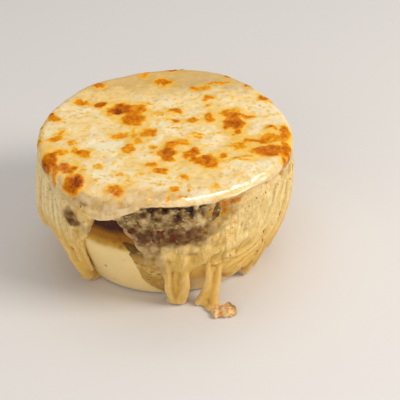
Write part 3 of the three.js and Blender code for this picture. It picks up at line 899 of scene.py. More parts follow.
def curtainDepth(angle, z):
    # how far the cheese stands out from the crock's wall, below 0 where there is none
    hem = curtainHem(angle)
    slope = (curtainHem(angle + 0.4) - curtainHem(angle - 0.4)) / 0.8
    head = curtainHead(angle)
    above = np.where(head > 61, 9, head - z)
    room = np.minimum((z - hem) / np.sqrt(1 + slope ** 2), above)
    thin = filmUnder(angle, z)
    body = curtainBody(angle, z) * roundedOff(room, curtain["edge"])
    depth = np.maximum(body, np.where(room > 0, 0, thin))
    bare = -curtain["sunk"] * np.clip(-room / 0.8, 0, 1)
    sheet = np.where((room > 0) | (thin > 0.05), depth, bare)
    return np.maximum(sheet, laceDepth(angle, z)) - curtain["groove"] * lipGroove(angle, z)


def curtainTemplate():
    rows = np.linspace(0.5, 60, 90)
    profile = [(58, z) for z in rows] + [(50, z) for z in rows[::-3]]
    return spunRing(profile, curtain["turns"], "curtain", closed=True)


def shapeCurtain(mesh):
    angle, radius, z = polar(readPoints(mesh))
    wall = wallRadius(z)
    outside = radius > 54
    depth = curtainDepth(angle, z)
    writePoints(mesh, fromPolar(angle, np.where(outside, wall + depth, wall - curtain["embed"]), z))
    return mesh


def addStrands(bm, strands, name):
    # tapered tubes along listed or scattered paths
    curve = bpy.data.curves.new(name, "CURVE")
    curve.dimensions = "3D"
    curve.bevel_depth = 1
    curve.bevel_resolution = 3
    curve.resolution_u = 6
    curve.use_fill_caps = True
    for strand in strands:
        line = curve.splines.new("NURBS")
        line.points.add(len(strand) - 1)
        line.order_u = 3
        line.use_endpoint_u = True
        for point, (angle, radius, z, thick) in zip(line.points, strand):
            point.co = (*around(angle, radius, z), 1)
            point.radius = thick
    bm.from_mesh(settled(linked(name, curve)))
    for strand in strands:
        for angle, radius, z, thick in (strand[0], strand[-1]):
            place = Matrix.Translation(around(angle, radius, z))
            bmesh.ops.create_icosphere(bm, subdivisions=2, radius=thick, matrix=place)


sideStrands = {
    "from": 52,
    "to": 282,
    "step": (5, 11),
    "top": (46, 56),
    "thick": (0.9, 2),
    "lean": (-3, 3),
    "shortest": 9,
}


def scatteredStrands():
    # strands down the right, back and left, where the curtain hangs lower
    rng = random.Random(7)
    strands = []
    angle = sideStrands["from"]
    while angle < sideStrands["to"]:
        signed = angle if angle < 180 else angle - 360
        hem = float(curtainHem(np.array([signed]))[0])
        top = rng.uniform(*sideStrands["top"])
        foot = max(hem + rng.uniform(-1.5, 5), 2.5)
        thick = rng.uniform(*sideStrands["thick"])
        lean = rng.uniform(*sideStrands["lean"])
        points = []
        for i in range(5):
            share = i / 4
            z = top + (foot - top) * share
            swell = thick * (0.55 + 0.65 * share) if i < 4 else thick * 1.25
            proud = 0.3 if i == 0 else 0.75
            radius = wallRadius(z) + curtain["thickness"] * proud + swell * 0.35
            points.append((angle + lean * share, radius, z, swell))
        if top - foot > sideStrands["shortest"]:
            strands.append(points)
        angle += rng.uniform(*sideStrands["step"])
    return strands


lipThreads = {
    "count": 7,
    "from": 5,
    "spread": 27,
    "lean": (-6, 7),
    "top": 58.6,
    "foot": (38, 50),
    "thick": (0.8, 1.4),
}


def hangingThreads():
    # thin strands from the lip down over the onions
    rng = random.Random(15)
    threads = []
    for _ in range(lipThreads["count"]):
        angle = lipThreads["from"] + lipThreads["spread"] * rng.random()
        lean = rng.uniform(*lipThreads["lean"])
        foot = rng.uniform(*lipThreads["foot"])
        points = []
        for i in range(5):
            share = i / 4
            z = lipThreads["top"] + (foot - lipThreads["top"]) * share
            here = angle + lean * share
            depth = max(atOne(heapDepth, here, z), 0.8)
            thick = rng.uniform(*lipThreads["thick"])
            points.append((here, crock["rimRadius"] + depth - 0.2 + 0.3 * rng.random(), z, thick))
        threads.append(points)
    return threads


def turnedPlace(spot, turn, size):
    # moves to the spot, turns round Z, and scales by the three sizes
    turned = Matrix.Translation(spot) @ Matrix.Rotation(math.radians(turn), 4, "Z")
    return turned @ Matrix.Diagonal((*size, 1))


def addLumps(bm):
    for angle, radius, z, width, height, depth in cheeseLumps:
        place = turnedPlace(around(angle, radius, z), angle, (width / 2, depth / 2, height / 2))
        bmesh.ops.create_icosphere(bm, subdivisions=3, radius=1, matrix=place)


def addPuddles(bm):
    for x, y, length, width, height, turn in puddles:
        place = turnedPlace((x, y, 0.3), turn, (length / 2, width / 2, height))
        bmesh.ops.create_icosphere(bm, subdivisions=4, radius=1, matrix=place)
    for chunk in crustChunks:
        place = turnedPlace((chunk["x"], chunk["y"], chunk["height"] / 2), chunk["turn"], (1, 1, 1))
        place = place @ Matrix.Rotation(math.radians(chunk["tip"]), 4, "Y")
        place = place @ Matrix.Diagonal((chunk["length"], chunk["width"], chunk["height"], 1))
        block = bmesh.ops.create_cube(bm, size=1, matrix=place)["verts"]
        edges = list({edge for vert in block for edge in vert.link_edges})
        bmesh.ops.bevel(bm, geom=edges, offset=1, segments=3, profile=0.5, affect="EDGES", material=-1)


def growCheese():
    bm = bmesh.new()
    bm.from_mesh(shapeLid(lidTemplate()))
    bm.from_mesh(shapeCurtain(curtainTemplate()))
    addStrands(bm, heroStrands, "heroStrands")
    addStrands(bm, scatteredStrands(), "sideStrands")
    addStrands(bm, hangingThreads(), "hangingThreads")
    addLumps(bm)
    addPuddles(bm)
    for vert in bm.verts:
        vert.co.z = max(vert.co.z, 0.3)  # nothing below the surface the crock stands on
    return fused(bm, "meltedCheese", cheese["voxel"], cheese["softening"])


def thinHidden(mesh):
    # fewer faces where the cheese lies against the crock and the soup
    _, radius, z = polar(readPoints(mesh))
    hidden = (radius < wallRadius(z) - 0.9) & (z < 60.2)
    passing = linked("meltedCheese", mesh)
    group = passing.vertex_groups.new(name="hidden")
    group.add(np.nonzero(hidden)[0].tolist(), 1, "REPLACE")
    fewer = passing.modifiers.new("fewer", "DECIMATE")
    fewer.vertex_group = "hidden"
    fewer.ratio = 1 - (1 - cheese["hiddenKept"]) * float(hidden.mean())
    return settled(passing)


# Places on the side: angle, height, half width, half height, and how much.
# For the browned ones, the last number is what their mottling adds.
sideBrowned = [(30, 57.4, 7, 1.6, 0.74, 0.3), (23, 54, 6, 4.5, 0.22, 0.45), (81, 45, 7, 9, 0.12, 0.4),
               (63, 56, 4, 3, 0.12, 0.4)]
# The amber strip just under the lip on the left is partly painted shade in the recess below the lip.
sideAmber = [(23, 53.5, 6, 3.6, 1), (-38.5, 52.8, 5, 1.1, 0.9), (-58, 29, 6, 6, 0.6)]
sideStained = [(-38.5, 39.5, 4.5, 4, 1), (-42, 55.6, 11, 2.4, 0.6)]


def inFront(angle):
    # 1 where the lip is wet and shows from the front
    return plateau(angle, -72, -60, 60, 72)


def crustBrowning(x, y, z):
    radius = np.hypot(x, y)
    browned = brownedAt(x, y, 0.65, 1.6, 1.12) * smoothStep(z, 55, 58.5)
    backEdge = smoothStep(radius, 58, 60.5) * smoothStep(y, 0, 25)
    backEdge = backEdge * smoothStep(noiseOver(x, y, 5, 5, 37), -0.3, 0.5)
    return np.maximum(browned, 0.42 * backEdge * smoothStep(z, 58, 60))


def sideBrowning(angle, z):
    mottle = noiseOver(angle, z, 2.2, 1.8, 75)
    browned = np.zeros(len(angle))
    for *place, amount, mottling in sideBrowned:
        browned = np.maximum(browned, placeShare(angle, z, place) * (amount + mottling * mottle))
    return browned


def breadShare(x, y, z):
    # 1 on the browned bread
    bread = np.zeros(len(x))
    for chunk in crustChunks:
        away = np.hypot(x - chunk["x"], y - chunk["y"]) + 2 * np.maximum(z - 5, 0)
        bread = np.maximum(bread, 1 - smoothStep(away, 3.2, 5.2))
    return bread


def rollShare(angle, radius, z):
    # 1 on the roll of the lip, which keeps the colour of the lid
    roll = smoothStep(z - lipBottom(angle), -3, -1.6) * smoothStep(radius, 57, 59)
    return roll * inFront(angle) * (1 - smoothStep(angle, 20, 30))


def paleShare(angle, z):
    # the cleaner cheese to the left of the onions, and on the right a paler tint that is partly painted
    # light on the side facing the window lamp
    left = plateau(angle, -130, -100, -56, -42) * (0.2 + 0.8 * smoothStep(z, 28, 44))
    right = 0.4 * plateau(angle, 28, 38, 90, 120) * smoothStep(z, 20, 34)
    return left + right


# the side of the lip where it turns down from the top, picked out by its normals: painted darker than the
# top as shade, with tan streaks
def lipFaceShare(angle, radius, z, normal):
    face = smoothStep(radius, 50.5, 56) * smoothStep(z, 50, 53) * (1 - smoothStep(normal[:, 2], 0.6, 0.98))
    rim = 0.95 * bell(angle, -5, 17) * smoothStep(radius, 46, 52) * smoothStep(z, 53, 56)
    return np.maximum(face * inFront(angle), rim)


def cheeseLooks(points, normal, upward):
    # what the material reads at each point
    x, y, z = points.T
    angle, radius, _ = polar(points)
    overLip = smoothStep(z, 57, 59.5) * smoothStep(normal[:, 2], -0.2, 0.4)
    runny = np.clip((61.5 - z) / 45, 0, 1) * (1 - upward)
    return {
        "browned": np.maximum(crustBrowning(x, y, z), sideBrowning(angle, z)),
        "golden": brownedAt(x, y, 0.9, 2.9, 0.85) * smoothStep(z, 54, 58),
        "amber": placesShare(angle, z, sideAmber) * (1 - upward),
        "stained": np.clip(placesShare(angle, z, sideStained), 0, 1),
        "soak": soakedShare(angle, z) * (1 - overLip) * (radius > 50),
        "tone": onionTone(angle, z),
        "runny": runny * (1 - 0.9 * rollShare(angle, radius, z)),
        "tanned": smoothStep(y, 18, 54) * upward,
        "lipFace": lipFaceShare(angle, radius, z, normal),
        "wet": smoothStep(radius, 50, 56) * smoothStep(z, 53, 56) * inFront(angle),
        "pale": paleShare(angle, z) * (1 - upward),
        "bread": breadShare(x, y, z),
        "breadSide": smoothStep(x + 0.5 * y, -2.6, -0.2),
    }


def cheeseRelief(points, upward, looks):
    # the uneven crust, the fine grain of the side, and the crumb of the bread
    x, y, z = points.T
    angle, radius, _ = polar(points)
    blotch = noiseSum(x, y, (0.5, 4.2, 4.2, 31), (0.5, 1.9, 1.9, 32))
    relief = noiseSum(x, y, (1, 6, 5, 33), (0.7, 2.8, 2.4, 34))
    relief = lid["relief"] * relief * (1 - 0.5 * smoothStep(radius, 50, 56))
    crust = relief + lid["puff"] * looks["browned"] * (0.6 + blotch)
    side = 0.14 * noiseOver(flowOf(angle, z), z, 1.3, 6, 35)
    side = side + 0.11 * softNoise(points / (1.7, 1.7, 1.9), 36)
    side = side * (1 - 0.8 * looks["wet"])
    crumb = 0.5 * softNoise(points / 1.5, 38) + 0.3 * softNoise(points / 0.8, 39)
    return upward * crust + side * (1 - upward) + looks["bread"] * crumb


def detailCheese(mesh):
    points = readPoints(mesh)
    normal = normalsOf(mesh)
    upward = smoothStep(normal[:, 2], 0.2, 0.8) * smoothStep(points[:, 2], 56.5, 59.5)
    looks = cheeseLooks(points, normal, upward)
    writePoints(mesh, points + normal * cheeseRelief(points, upward, looks)[:, None])
    # the crease depth, used to paint shade into the creases and light onto the ridges
    looks["crease"] = np.clip(creasesOf(mesh, cheese["creaseReach"]) / cheese["creaseDepth"], -1, 1)
    for name, values in looks.items():
        setAttribute(mesh, name, values)
    return mesh


cheeseColours = {
    "cream": (0.91, 0.64, 0.26),
    "paleCream": (0.93, 0.80, 0.52),
    "golden": (0.91, 0.52, 0.060),  # round the browned places
    "freckle": (0.86, 0.50, 0.07),
    "butter": (0.90, 0.55, 0.085),
    "tanned": (0.62, 0.38, 0.11),  # towards the back
    # the lip's face: painted darker than the top as shade, with bands, patches and specks
    "lip": (0.82, 0.59, 0.30),
    "lipBand": (0.62, 0.37, 0.13),
    "lipPatch": (0.66, 0.38, 0.085),
    "lipSpeck": (0.45, 0.27, 0.12),
    "melted": (0.73, 0.46, 0.125),
    "paleMelted": (0.84, 0.63, 0.27),
    "meltedBand": (0.56, 0.37, 0.080),
    "streak": (0.58, 0.33, 0.080),
    "darkThread": (0.50, 0.31, 0.085),
    "paleThread": (0.88, 0.70, 0.36),
    # cleaner cheese, and on the right partly painted light
    "paleSide": (0.84, 0.72, 0.42),
    "sideSpeck": (0.42, 0.22, 0.06),
    "foot": (0.70, 0.415, 0.080),  # where it has run down furthest
    # painted shade in the creases, and painted light on the ridges
    "crease": (0.40, 0.22, 0.055),
    "ridgeLight": (0.92, 0.76, 0.44),
    "stain": (0.45, 0.31, 0.17),
    "stainDot": (0.16, 0.075, 0.045),
    "amber": (0.60, 0.36, 0.060),
    "toasted": [
        (0.24, (0.92, 0.54, 0.055)),
        (0.40, (0.86, 0.35, 0.005)),
        (0.62, (0.70, 0.205, 0.001)),
        (0.84, (0.47, 0.105, 0)),
        (1, (0.22, 0.036, 0.001)),
    ],
    # the browning on the side, darker than on top: partly painted shade under the lip
    "shadedToastedSide": (0.26, 0.080, 0.006),
    "paleShadedToastedSide": (0.50, 0.21, 0.018),
    "bread": (0.86, 0.60, 0.30),
    "brownBread": (0.66, 0.32, 0.09),
    "burntBread": (0.22, 0.085, 0.025),
}


def lidColour(at, broad, patch, band):
    tints = cheeseColours
    speckle = at.noise(430, 2, 0.4)
    cream = (broad + (patch - 0.5) * 0.7).between(0.32, 0.68).mix(tints["cream"], tints["paleCream"])
    golden = (at.attribute("golden") + (patch - 0.5) * 1.2).between(0.06, 0.60)
    tanned = (at.attribute("tanned") + (patch - 0.5) * 1.1 + (broad - 0.5)).between(0.15, 1)
    lip = band.between(0.42, 0.62).mix(tints["lip"], tints["lipBand"])
    lip = layered(lip, [
        (patch.between(0.47, 0.60) * 0.7, tints["lipPatch"]),
        (speckle.between(0.56, 0.68) * 0.45, tints["lipSpeck"]),
    ])
    return layered(cream, [
        (golden * 0.75, tints["golden"]),
        (speckle.between(0.54, 0.68) * 0.65, tints["freckle"]),
        ((speckle * 0.5 + patch * 0.6).between(0.585, 0.66) * 0.7, tints["butter"]),
        (tanned * 0.8, tints["tanned"]),
        (at.attribute("lipFace") * 0.9, lip),
    ])


def sideColour(at, patch, band, thread, runny):
    tints = cheeseColours
    streak = at.stretched((1, 1, 0.22)).noise(330, 3)
    melted = patch.between(0.35, 0.65).mix(tints["melted"], tints["paleMelted"])
    return layered(melted, [
        (band.between(0.46, 0.64) * 0.6, tints["meltedBand"]),
        (streak.between(0.50, 0.68) * 0.5, tints["streak"]),
        (thread.between(0.50, 0.66) * 0.5, tints["darkThread"]),
        (thread.between(0.46, 0.34) * 0.5, tints["paleThread"]),
        (at.attribute("pale") * 0.6, tints["paleSide"]),
        (at.noise(900, 2, 0.4).between(0.60, 0.70) * 0.6, tints["sideSpeck"]),
        (runny.between(0.40, 0.95) * 0.85, tints["foot"]),
    ])


def makeCheeseMaterial():
    material, at = newMaterial("meltedCheese")
    tints = cheeseColours
    stained = at.attribute("stained")
    runny = at.attribute("runny")
    wet = at.attribute("wet")
    crease = at.attribute("crease")
    bread = at.attribute("bread")
    broad = at.noise(55, 3)
    patch = at.noise(210, 4)
    fine = at.noise(640, 4, 0.6)
    band = at.stretched((1, 1, 0.2)).noise(140, 2)
    thread = at.stretched((1, 1, 0.3)).noise(760, 3)
    crust = at.attribute("browned") * 0.96 + (patch - 0.5) * 0.75 + (fine - 0.5) * 0.75
    crust = crust + (at.noise(1300, 2) - 0.5) * 0.45
    # the browned places on the side take a darker copy of the browning, partly painted shade
    shadedToastedSide = fine.between(0.40, 0.60).mix(tints["shadedToastedSide"], tints["paleShadedToastedSide"])
    toasted = (runny.between(0, 0.1) * 0.85).mix(crust.ramp(tints["toasted"]), shadedToastedSide)
    baked = fine.between(0.42, 0.62).mix(tints["bread"], tints["brownBread"])
    baked = (at.attribute("breadSide") * 0.8).mix(baked, tints["burntBread"])
    # painted shade: darker in the hollows through the tone, and in the creases
    shade = at.attribute("tone") + (patch - 0.5) * 0.55 + (fine - 0.5) * 0.7 - crease * 0.14
    veil = (stained * 1.2 + (broad - 0.5) * 0.9 + (patch - 0.5) * 0.9).between(0.25, 0.95)
    dots = (stained * 0.75 + (patch - 0.5) * 2 + crease * 0.3).between(0.45, 0.95)
    soaked = (at.attribute("soak") + (patch - 0.5) * 0.6).between(0.12, 0.80)
    colour = layered(lidColour(at, broad, patch, band), [
        (runny.between(0, 0.12), sideColour(at, patch, band, thread, runny)),
        # painted shade in the creases and painted light on the ridges
        (crease.between(0, 1.1) * 0.7, tints["crease"]),
        ((0 - crease).between(0.1, 1.1) * 0.4, tints["ridgeLight"]),
        (veil * 0.5, tints["stain"]),
        (dots * 0.8, tints["stainDot"]),
        (soaked * 0.95, onionColour(at, shade)),
        (at.attribute("amber") * (0.35 + patch.between(0.4, 0.6) * 0.6), tints["amber"]),
        (crust.between(0.16, 0.32), toasted),
        (bread, baked),
    ])
    shine = (wet * 0.9 + runny.between(0.02, 0.3) * 0.15) * (1 - bread)
    relief = (fine * 0.7 + at.noise(1500, 3) * 0.3 + patch * 0.8 + thread * 0.5) * (1 - wet * 0.75)
    finishMaterial(at, {
        "Base Color": colour,
        "Roughness": 0.38 + (patch - 0.5) * 0.25 + bread * 0.25,
        "Specular IOR Level": 0.04,
        "Subsurface Weight": 0.18,
        "Subsurface Radius": (1, 0.5, 0.2),
        "Subsurface Scale": 0.0016,
        "Coat Weight": shine * (1 - crust.between(0.4, 0.8) * 0.8),
        "Coat Roughness": 0.19,
        "Normal": relief.bump(0.0005, 0.5),
    })
    return material


cheeseMesh = detailCheese(thinHidden(growCheese()))
cheesePiece = makePiece(cheeseMesh, "meltedCheese", makeCheeseMaterial())
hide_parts("melted_cheese")
cheeseSurface = surfaceOf(cheeseMesh)
print("cheese melted,", len(cheeseMesh.polygons), "faces")


def onCheese(angle, z):
    # where a line from outside towards the axis meets the cheese, and which way the cheese faces there
    start = around(angle, 90, z) * millimetre
    spot, facing, _, _ = cheeseSurface.ray_cast(start, -around(angle, 1, 0))
    return spot / millimetre, facing


# The thin broth film on the bare part of the crock

# Left edge of the film: height and angle
filmEdge = [(1, 0), (4, -5.4), (7.3, -10.8), (14, -14.1), (22.9, -15.4), (28, -16.6), (32, -18.4),
            (36, -21.2), (40, -22.5), (50, -23)]

film = {
    "from": -26,
    "to": 8,
    "margin": 0,
    "foot": 1.5,
    "top": 38,
    "fadeTop": 36.6,  # its upper edge is rounded off here
    "rows": 92,
    "turns": 90,
    "inner": 40,
    "outer": 60,
    "backStep": 6,
    "thickness": 0.34,
    "embed": 1.2,  # depth of its back inside the crock
    "pale": (0.60, 0.41, 0.115),
    "brown": (0.44, 0.25, 0.045),
    "rosy": (0.46, 0.21, 0.070),
    "speck": (0.15, 0.060, 0.014),
    # darker towards the top: browner broth, with painted shade under the onions and the strand beside it
    "high": (0.120, 0.046, 0.010),
    "rim": (0.66, 0.46, 0.14),
}


def filmDepth(angle, z):
    # how far the film stands out, and how near it is to its full thickness
    edge = np.interp(z, *zip(*filmEdge))
    room = angle - edge + noiseSum(angle, z, (1, 4, 5, 61), (0.35, 1.6, 1.8, 62))
    room = np.minimum(room, 0.8 * (film["fadeTop"] - z) + 1.4 * noiseAlong(angle, 2.2, 66))
    share = np.clip(room / 2.2, 0, 1)
    skin = film["thickness"] + noiseSum(angle, z, (0.14, 3.4, 4.4, 63), (0.05, 1.6, 2, 64))
    return np.where(room > 0, skin * share ** 0.7, -0.6 * np.clip(-room / 0.6, 0, 1)), share


def makeFilmMaterial():
    material, at = newMaterial("brothFilm")
    patch = at.noise(190, 2)
    height = heightOf(at)
    rim = at.attribute("skin").between(0.5, 0.1) * height.between(30, 24)
    colour = patch.between(0.36, 0.64).mix(film["brown"], film["pale"])
    colour = layered(colour, [
        (at.noise(260, 2).between(0.52, 0.62) * 0.6, film["rosy"]),
        ((at.noise(560, 1) + patch * 0.3).between(0.76, 0.86) * 0.8, film["speck"]),
        ((height + (patch - 0.5) * 16).between(25, 37), film["high"]),
        (rim * 0.7, film["rim"]),
    ])
    finishMaterial(at, {
        "Base Color": colour,
        "Roughness": 0.34 + (patch - 0.5) * 0.3,
        "Specular IOR Level": 0.1,
        "Normal": patch.bump(0.0002, 0.4),
    })
    return material


def makeFilm():
    mesh, angle, radius, z = spunBand(film, "brothFilm")
    wall = wallRadius(z)
    depth, share = filmDepth(angle, z)
    writePoints(mesh, fromPolar(angle, np.where(radius > 50, wall + depth, wall - film["embed"]), z))
    setAttribute(mesh, "skin", share)
    return mesh


makePiece(makeFilm(), "brothFilm", makeFilmMaterial())
print("broth film laid")


# The onions and the soup

heap = {
    "from": spill["from"],
    "to": spill["to"],
    "margin": 1,
    "foot": 36.5,
    "top": 58.6,
    "rows": 48,
    "turns": 146,
    "inner": 55.2,
    "outer": 60,
    "backStep": 8,
    "proud": 0.4,  # share of the spill's depth that the heap fills, below its loose pieces
}


def soupProfile():
    gap = 0.3  # between the soup and the inside of the crock
    wall = crock["wall"] + gap
    top = onions["level"] - 0.6
    profile = [(0, crock["floor"] + gap)]
    profile += [(wallRadius(z) - wall, z) for z in np.linspace(crock["floor"] + 5, crock["shoulder"], 8)]
    edge = crock["rimRadius"] - wall
    return profile + [(edge, crock["height"] - crock["rimRound"]), (edge, top), (0, top)]


def makeHeap():
    # the onions that went over the rim, as a lumpy patch on the collar
    mesh, angle, radius, z = spunBand(heap, "onionHeap")
    depth = heapDepth(angle, z)
    proud = crock["rimRadius"] + np.where(depth > 0, depth * heap["proud"], depth)
    writePoints(mesh, fromPolar(angle, np.where(radius > 58, proud, heap["inner"]), z))
    return mesh


def addPiece(bm, rng, spot, facing, size):
    shape = Matrix.Diagonal((size, size * rng.uniform(0.4, 0.7), min(size * 0.5, 1.2), 1))
    place = shredPlace(spot, facing, rng.gauss(0.2, 0.7)) @ shape
    bmesh.ops.create_icosphere(bm, subdivisions=2, radius=1, matrix=place)


def makeMass():
    # softened pieces of onion, settled into one another, with hollows left under the lip
    rng = random.Random(31)
    bm = bmesh.new()
    placed = 0
    while placed < onions["pieces"]:
        angle = rng.uniform(spill["from"] + 2, 24)
        z = rng.uniform(spillFloor(angle) + 0.6, 57.3)
        if angle > 8 and rng.random() < (angle - 8) / 20:
            continue
        if any(math.hypot(angle - at, z - height) < 2 for at, height in onionHollows):
            continue
        sizes = onions["highSizes"] if z > onions["highFrom"] else onions["lowSizes"]
        size = rng.uniform(*sizes)
        facing = around(angle, 1, rng.uniform(-0.2, 0.3)).normalized()
        radius = crock["rimRadius"] + 0.6 * atOne(heapDepth, angle, z) + rng.uniform(0, 0.6)
        addPiece(bm, rng, around(angle, radius, z), facing, size)
        placed += 1
    for _ in range(onions["patchPieces"]):
        sideways, upwards = rng.gauss(0, 1.1), rng.gauss(0, 2)
        spot, facing = onCheese(onions["patchAngle"] + sideways, onions["patchHeight"] + upwards)
        addPiece(bm, rng, spot - facing * 0.6, facing, rng.uniform(1, 2))
    mesh = fused(bm, "onionMass", onions["voxel"], onions["softening"])
    points = readPoints(mesh)
    ripple = 0.14 * softNoise(points / 1.5, 46) + 0.06 * softNoise(points / 0.7, 47)
    writePoints(mesh, points + normalsOf(mesh) * ripple[:, None])
    angle, _, z = polar(points)
    setAttribute(mesh, "tone", onionTone(angle, z))
    creases = creasesOf(mesh, onions["creaseReach"]) / onions["creaseDepth"]
    setAttribute(mesh, "crease", np.clip(creases, -1, 1))
    return mesh


def addShred(bm, tone, place, length, width, curl):
    # one shred: a narrow grid, arched across and curled along, then thickened
    verts = bmesh.ops.create_grid(bm, x_segments=9, y_segments=2, size=1)["verts"]
    for vert in verts:
        along, across = vert.co.x, vert.co.y
        taper = math.sqrt(1 - 0.85 * abs(along) ** 3)
        bend = along * curl
        reach = length / 2
        vert.co = Vector((
            reach * math.sin(bend) / curl,
            width / 2 * across * taper + 0.3 * math.sin(along * 4 + tone * 9),
            0.25 * (1 - across ** 2) - 0.4 * reach * (1 - math.cos(bend)) / curl,
        ))
    faces = list({face for vert in verts for face in vert.link_faces})
    bmesh.ops.transform(bm, matrix=place, verts=verts)
    before = set(bm.verts)
    bmesh.ops.solidify(bm, geom=faces, thickness=onions["thickness"])
    layer = bm.verts.layers.float["tone"]
    for vert in verts + [v for v in bm.verts if v not in before]:
        vert[layer] = tone


def shredPlace(spot, facing, tilt):
    side = Vector((0, 0, 1)).cross(facing).normalized()
    up = facing.cross(side)
    along = side * math.cos(tilt) + up * math.sin(tilt)
    across = facing.cross(along)
    return Matrix.Translation(spot) @ Matrix((along, across, facing)).transposed().to_4x4()


def onFood(massSurface, angle, z):
    # where a line from outside first meets the onions or the cheese over them
    inward = -around(angle, 1, 0)
    onMass, massFacing, _, _ = massSurface.ray_cast(around(angle, 90, z), inward)
    overIt, cheeseFacing = onCheese(angle, z)
    if onMass is None or overIt.to_2d().length > onMass.to_2d().length:
        return overIt, cheeseFacing
    return onMass, massFacing


def makeShreds(massSurface):
    rng = random.Random(23)
    bm = bmesh.new()
    bm.verts.layers.float.new("tone")
    for _ in range(onions["shreds"]):
        angle = spill["from"] + 3 + (spill["to"] - spill["from"] - 10) * rng.random() ** 1.5
        z = rng.uniform(spillFloor(angle) + 0.5, 56.5)
        if atOne(soakedShare, angle, z) < onions["soakedEnough"]:
            continue
        spot, facing = onFood(massSurface, angle, z)
        facing = (facing + around(angle, 1.5, 0)).normalized()
        place = shredPlace(spot - facing * 0.15, facing, rng.gauss(0.2, 0.8))
        tone = min(max(atOne(onionTone, angle, z) + rng.uniform(-0.10, 0.32), 0), 1)
        length, width = rng.uniform(*onions["length"]), rng.uniform(*onions["width"])
        addShred(bm, tone, place, length, width, rng.uniform(0.3, 1.3))
    for angle, z in onions["redBits"]:
        for _ in range(4):
            spot = around(angle + rng.uniform(-1.4, 1.4), 60.1, z + rng.uniform(-1.4, 1.4))
            place = shredPlace(spot, around(angle, 1, 0), rng.uniform(0.8, 2.2))
            addShred(bm, -0.5, place, rng.uniform(2, 4), rng.uniform(0.9, 1.5), rng.uniform(0.3, 0.8))
    bmesh.ops.recalc_face_normals(bm, faces=bm.faces)
    return meshOf(bm, "onionShreds")


def makeHeapMaterial():
    # near black throughout, as painted shade deep in the heap
    material, at = newMaterial("shadedOnion")
    patch = at.noise(230, 4, 0.65)
    finishMaterial(at, {
        "Base Color": patch.ramp(onions["soaked"]),
        "Roughness": 0.25 + patch * 0.2,
        "Specular IOR Level": 0.3,
        "Normal": patch.bump(0.0006, 0.6),
    })
    return material


def makeOnionMaterial(name, creased):
    # the tone runs from soaked plum to pale olive, and below 0 a piece is cooked red-brown
    material, at = newMaterial(name)
    tone = at.attribute("tone")
    patch = at.noise(330, 4, 0.6)
    fibre = at.stretched((1, 1, 3)).noise(300, 3)
    crumb = at.noise(820, 3, 0.6)
    shade = tone + (patch - 0.5) * 0.5 + (crumb - 0.5) * 0.55
    if creased:
        # painted shade in the creases between the onions
        shade = shade - at.attribute("crease") * 0.10
    colour = layered(onionColour(at, shade), [
        (fibre.between(0.45, 0.68) * 0.4, onions["fibre"]),
        (tone.between(-0.1, -0.4), onions["redBit"]),
    ])
    finishMaterial(at, {
        "Base Color": colour,
        "Roughness": 0.28 + patch * 0.2,
        "Specular IOR Level": 0.1,
        "Subsurface Weight": 0.2,
        "Subsurface Radius": (1, 0.6, 0.35),
        "Subsurface Scale": 0.001,
        "Coat Weight": 0.18,
        "Coat Roughness": 0.1,
        "Normal": (patch + fibre * 0.5 + crumb * 0.5).bump(0.0004, 0.5),
    })
    return material


shadedOnion = makeHeapMaterial()
soupMesh = spunRing(soupProfile(), crock["turns"] // 2, "onionSoup")
soupPiece = makePiece(soupMesh, "onionSoup", shadedOnion)
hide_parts("onion_soup")
makePiece(makeHeap(), "onionHeap", shadedOnion)
massMesh = makeMass()
massSurface = surfaceOf(massMesh)
makePiece(makeShreds(massSurface), "onionShreds", makeOnionMaterial("onionShreds", False))
makePiece(massMesh, "onionMass", makeOnionMaterial("onionMass", True))
print("onions packed")


# Dark flecks of pepper and char on the cheese

flecks = {
    # the ones in plain sight, as angle and height
    "shown": [(37.9, 51.2), (43.2, 52.9), (15.9, 55.3), (28.9, 51.8), (27.4, 29.2), (17.5, 27.6),
              (62.5, 33.1), (46.3, 33.5), (47.2, 27.3), (48.1, 19.1), (-56, 56), (-50, 53), (-44, 52),
              (-38.5, 45), (-43, 42)],
    "shownSizes": (0.35, 0.7),
    # the scattered ones: how many, between which angles and heights, and their sizes
    "scattered": [(14, (-20, 34), (26, 56), (0.15, 0.35)), (36, (34, 330), (12, 56), (0.15, 0.6))],
    "brown": (0.20, 0.095, 0.025),
    "paleBrown": (0.34, 0.18, 0.055),
}


def makeFlecks():
    rng = random.Random(4)
    spots = [(angle, z, rng.uniform(*flecks["shownSizes"])) for angle, z in flecks["shown"]]
    for count, angles, heights, sizes in flecks["scattered"]:
        spots += [(rng.uniform(*angles), rng.uniform(*heights), rng.uniform(*sizes)) for _ in range(count)]
    bm = bmesh.new()
    for angle, z, size in spots:
        spot, facing = onCheese(angle, z)
        if math.hypot(spot.x, spot.y) < wallRadius(spot.z) + 0.6:  # bare crock, no cheese
            continue
        shape = Matrix.Diagonal((size * 1.6, size * 0.8, size * 0.3, 1))
        place = shredPlace(spot, facing, rng.uniform(0.8, 1.8)) @ shape
        bmesh.ops.create_icosphere(bm, subdivisions=2, radius=1, matrix=place)
    return meshOf(bm, "darkFlecks")


def makeFleckMaterial():
    material, at = newMaterial("darkFleck")
    mottle = at.noise(900, 2)
    finishMaterial(at, {
        "Base Color": mottle.mix(flecks["brown"], flecks["paleBrown"]),
        "Roughness": 0.4 + mottle * 0.2,
        "Specular IOR Level": 0.15,
    })
    return material


makePiece(makeFlecks(), "darkFlecks", makeFleckMaterial())
print("flecks scattered")


# Floor, light and camera

studio = {
    "target": (0, 0, 0.03),
    "distance": 0.65,
    "elevation": 33.6,
    "roll": -1.51,
    "lens": 119.7,
    "sensor": 36,
    "picture": 400,  # width that the next two are measured in
    "right": 33.35,
    "down": 10.5,
    "floorHalf": 2.5,
    "floor": (0.74, 0.70, 0.66),
    "paleFloor": (0.78, 0.74, 0.70),
    "sky": (0.96, 0.97, 1, 1),
    "skyStrength": 0.35,
}

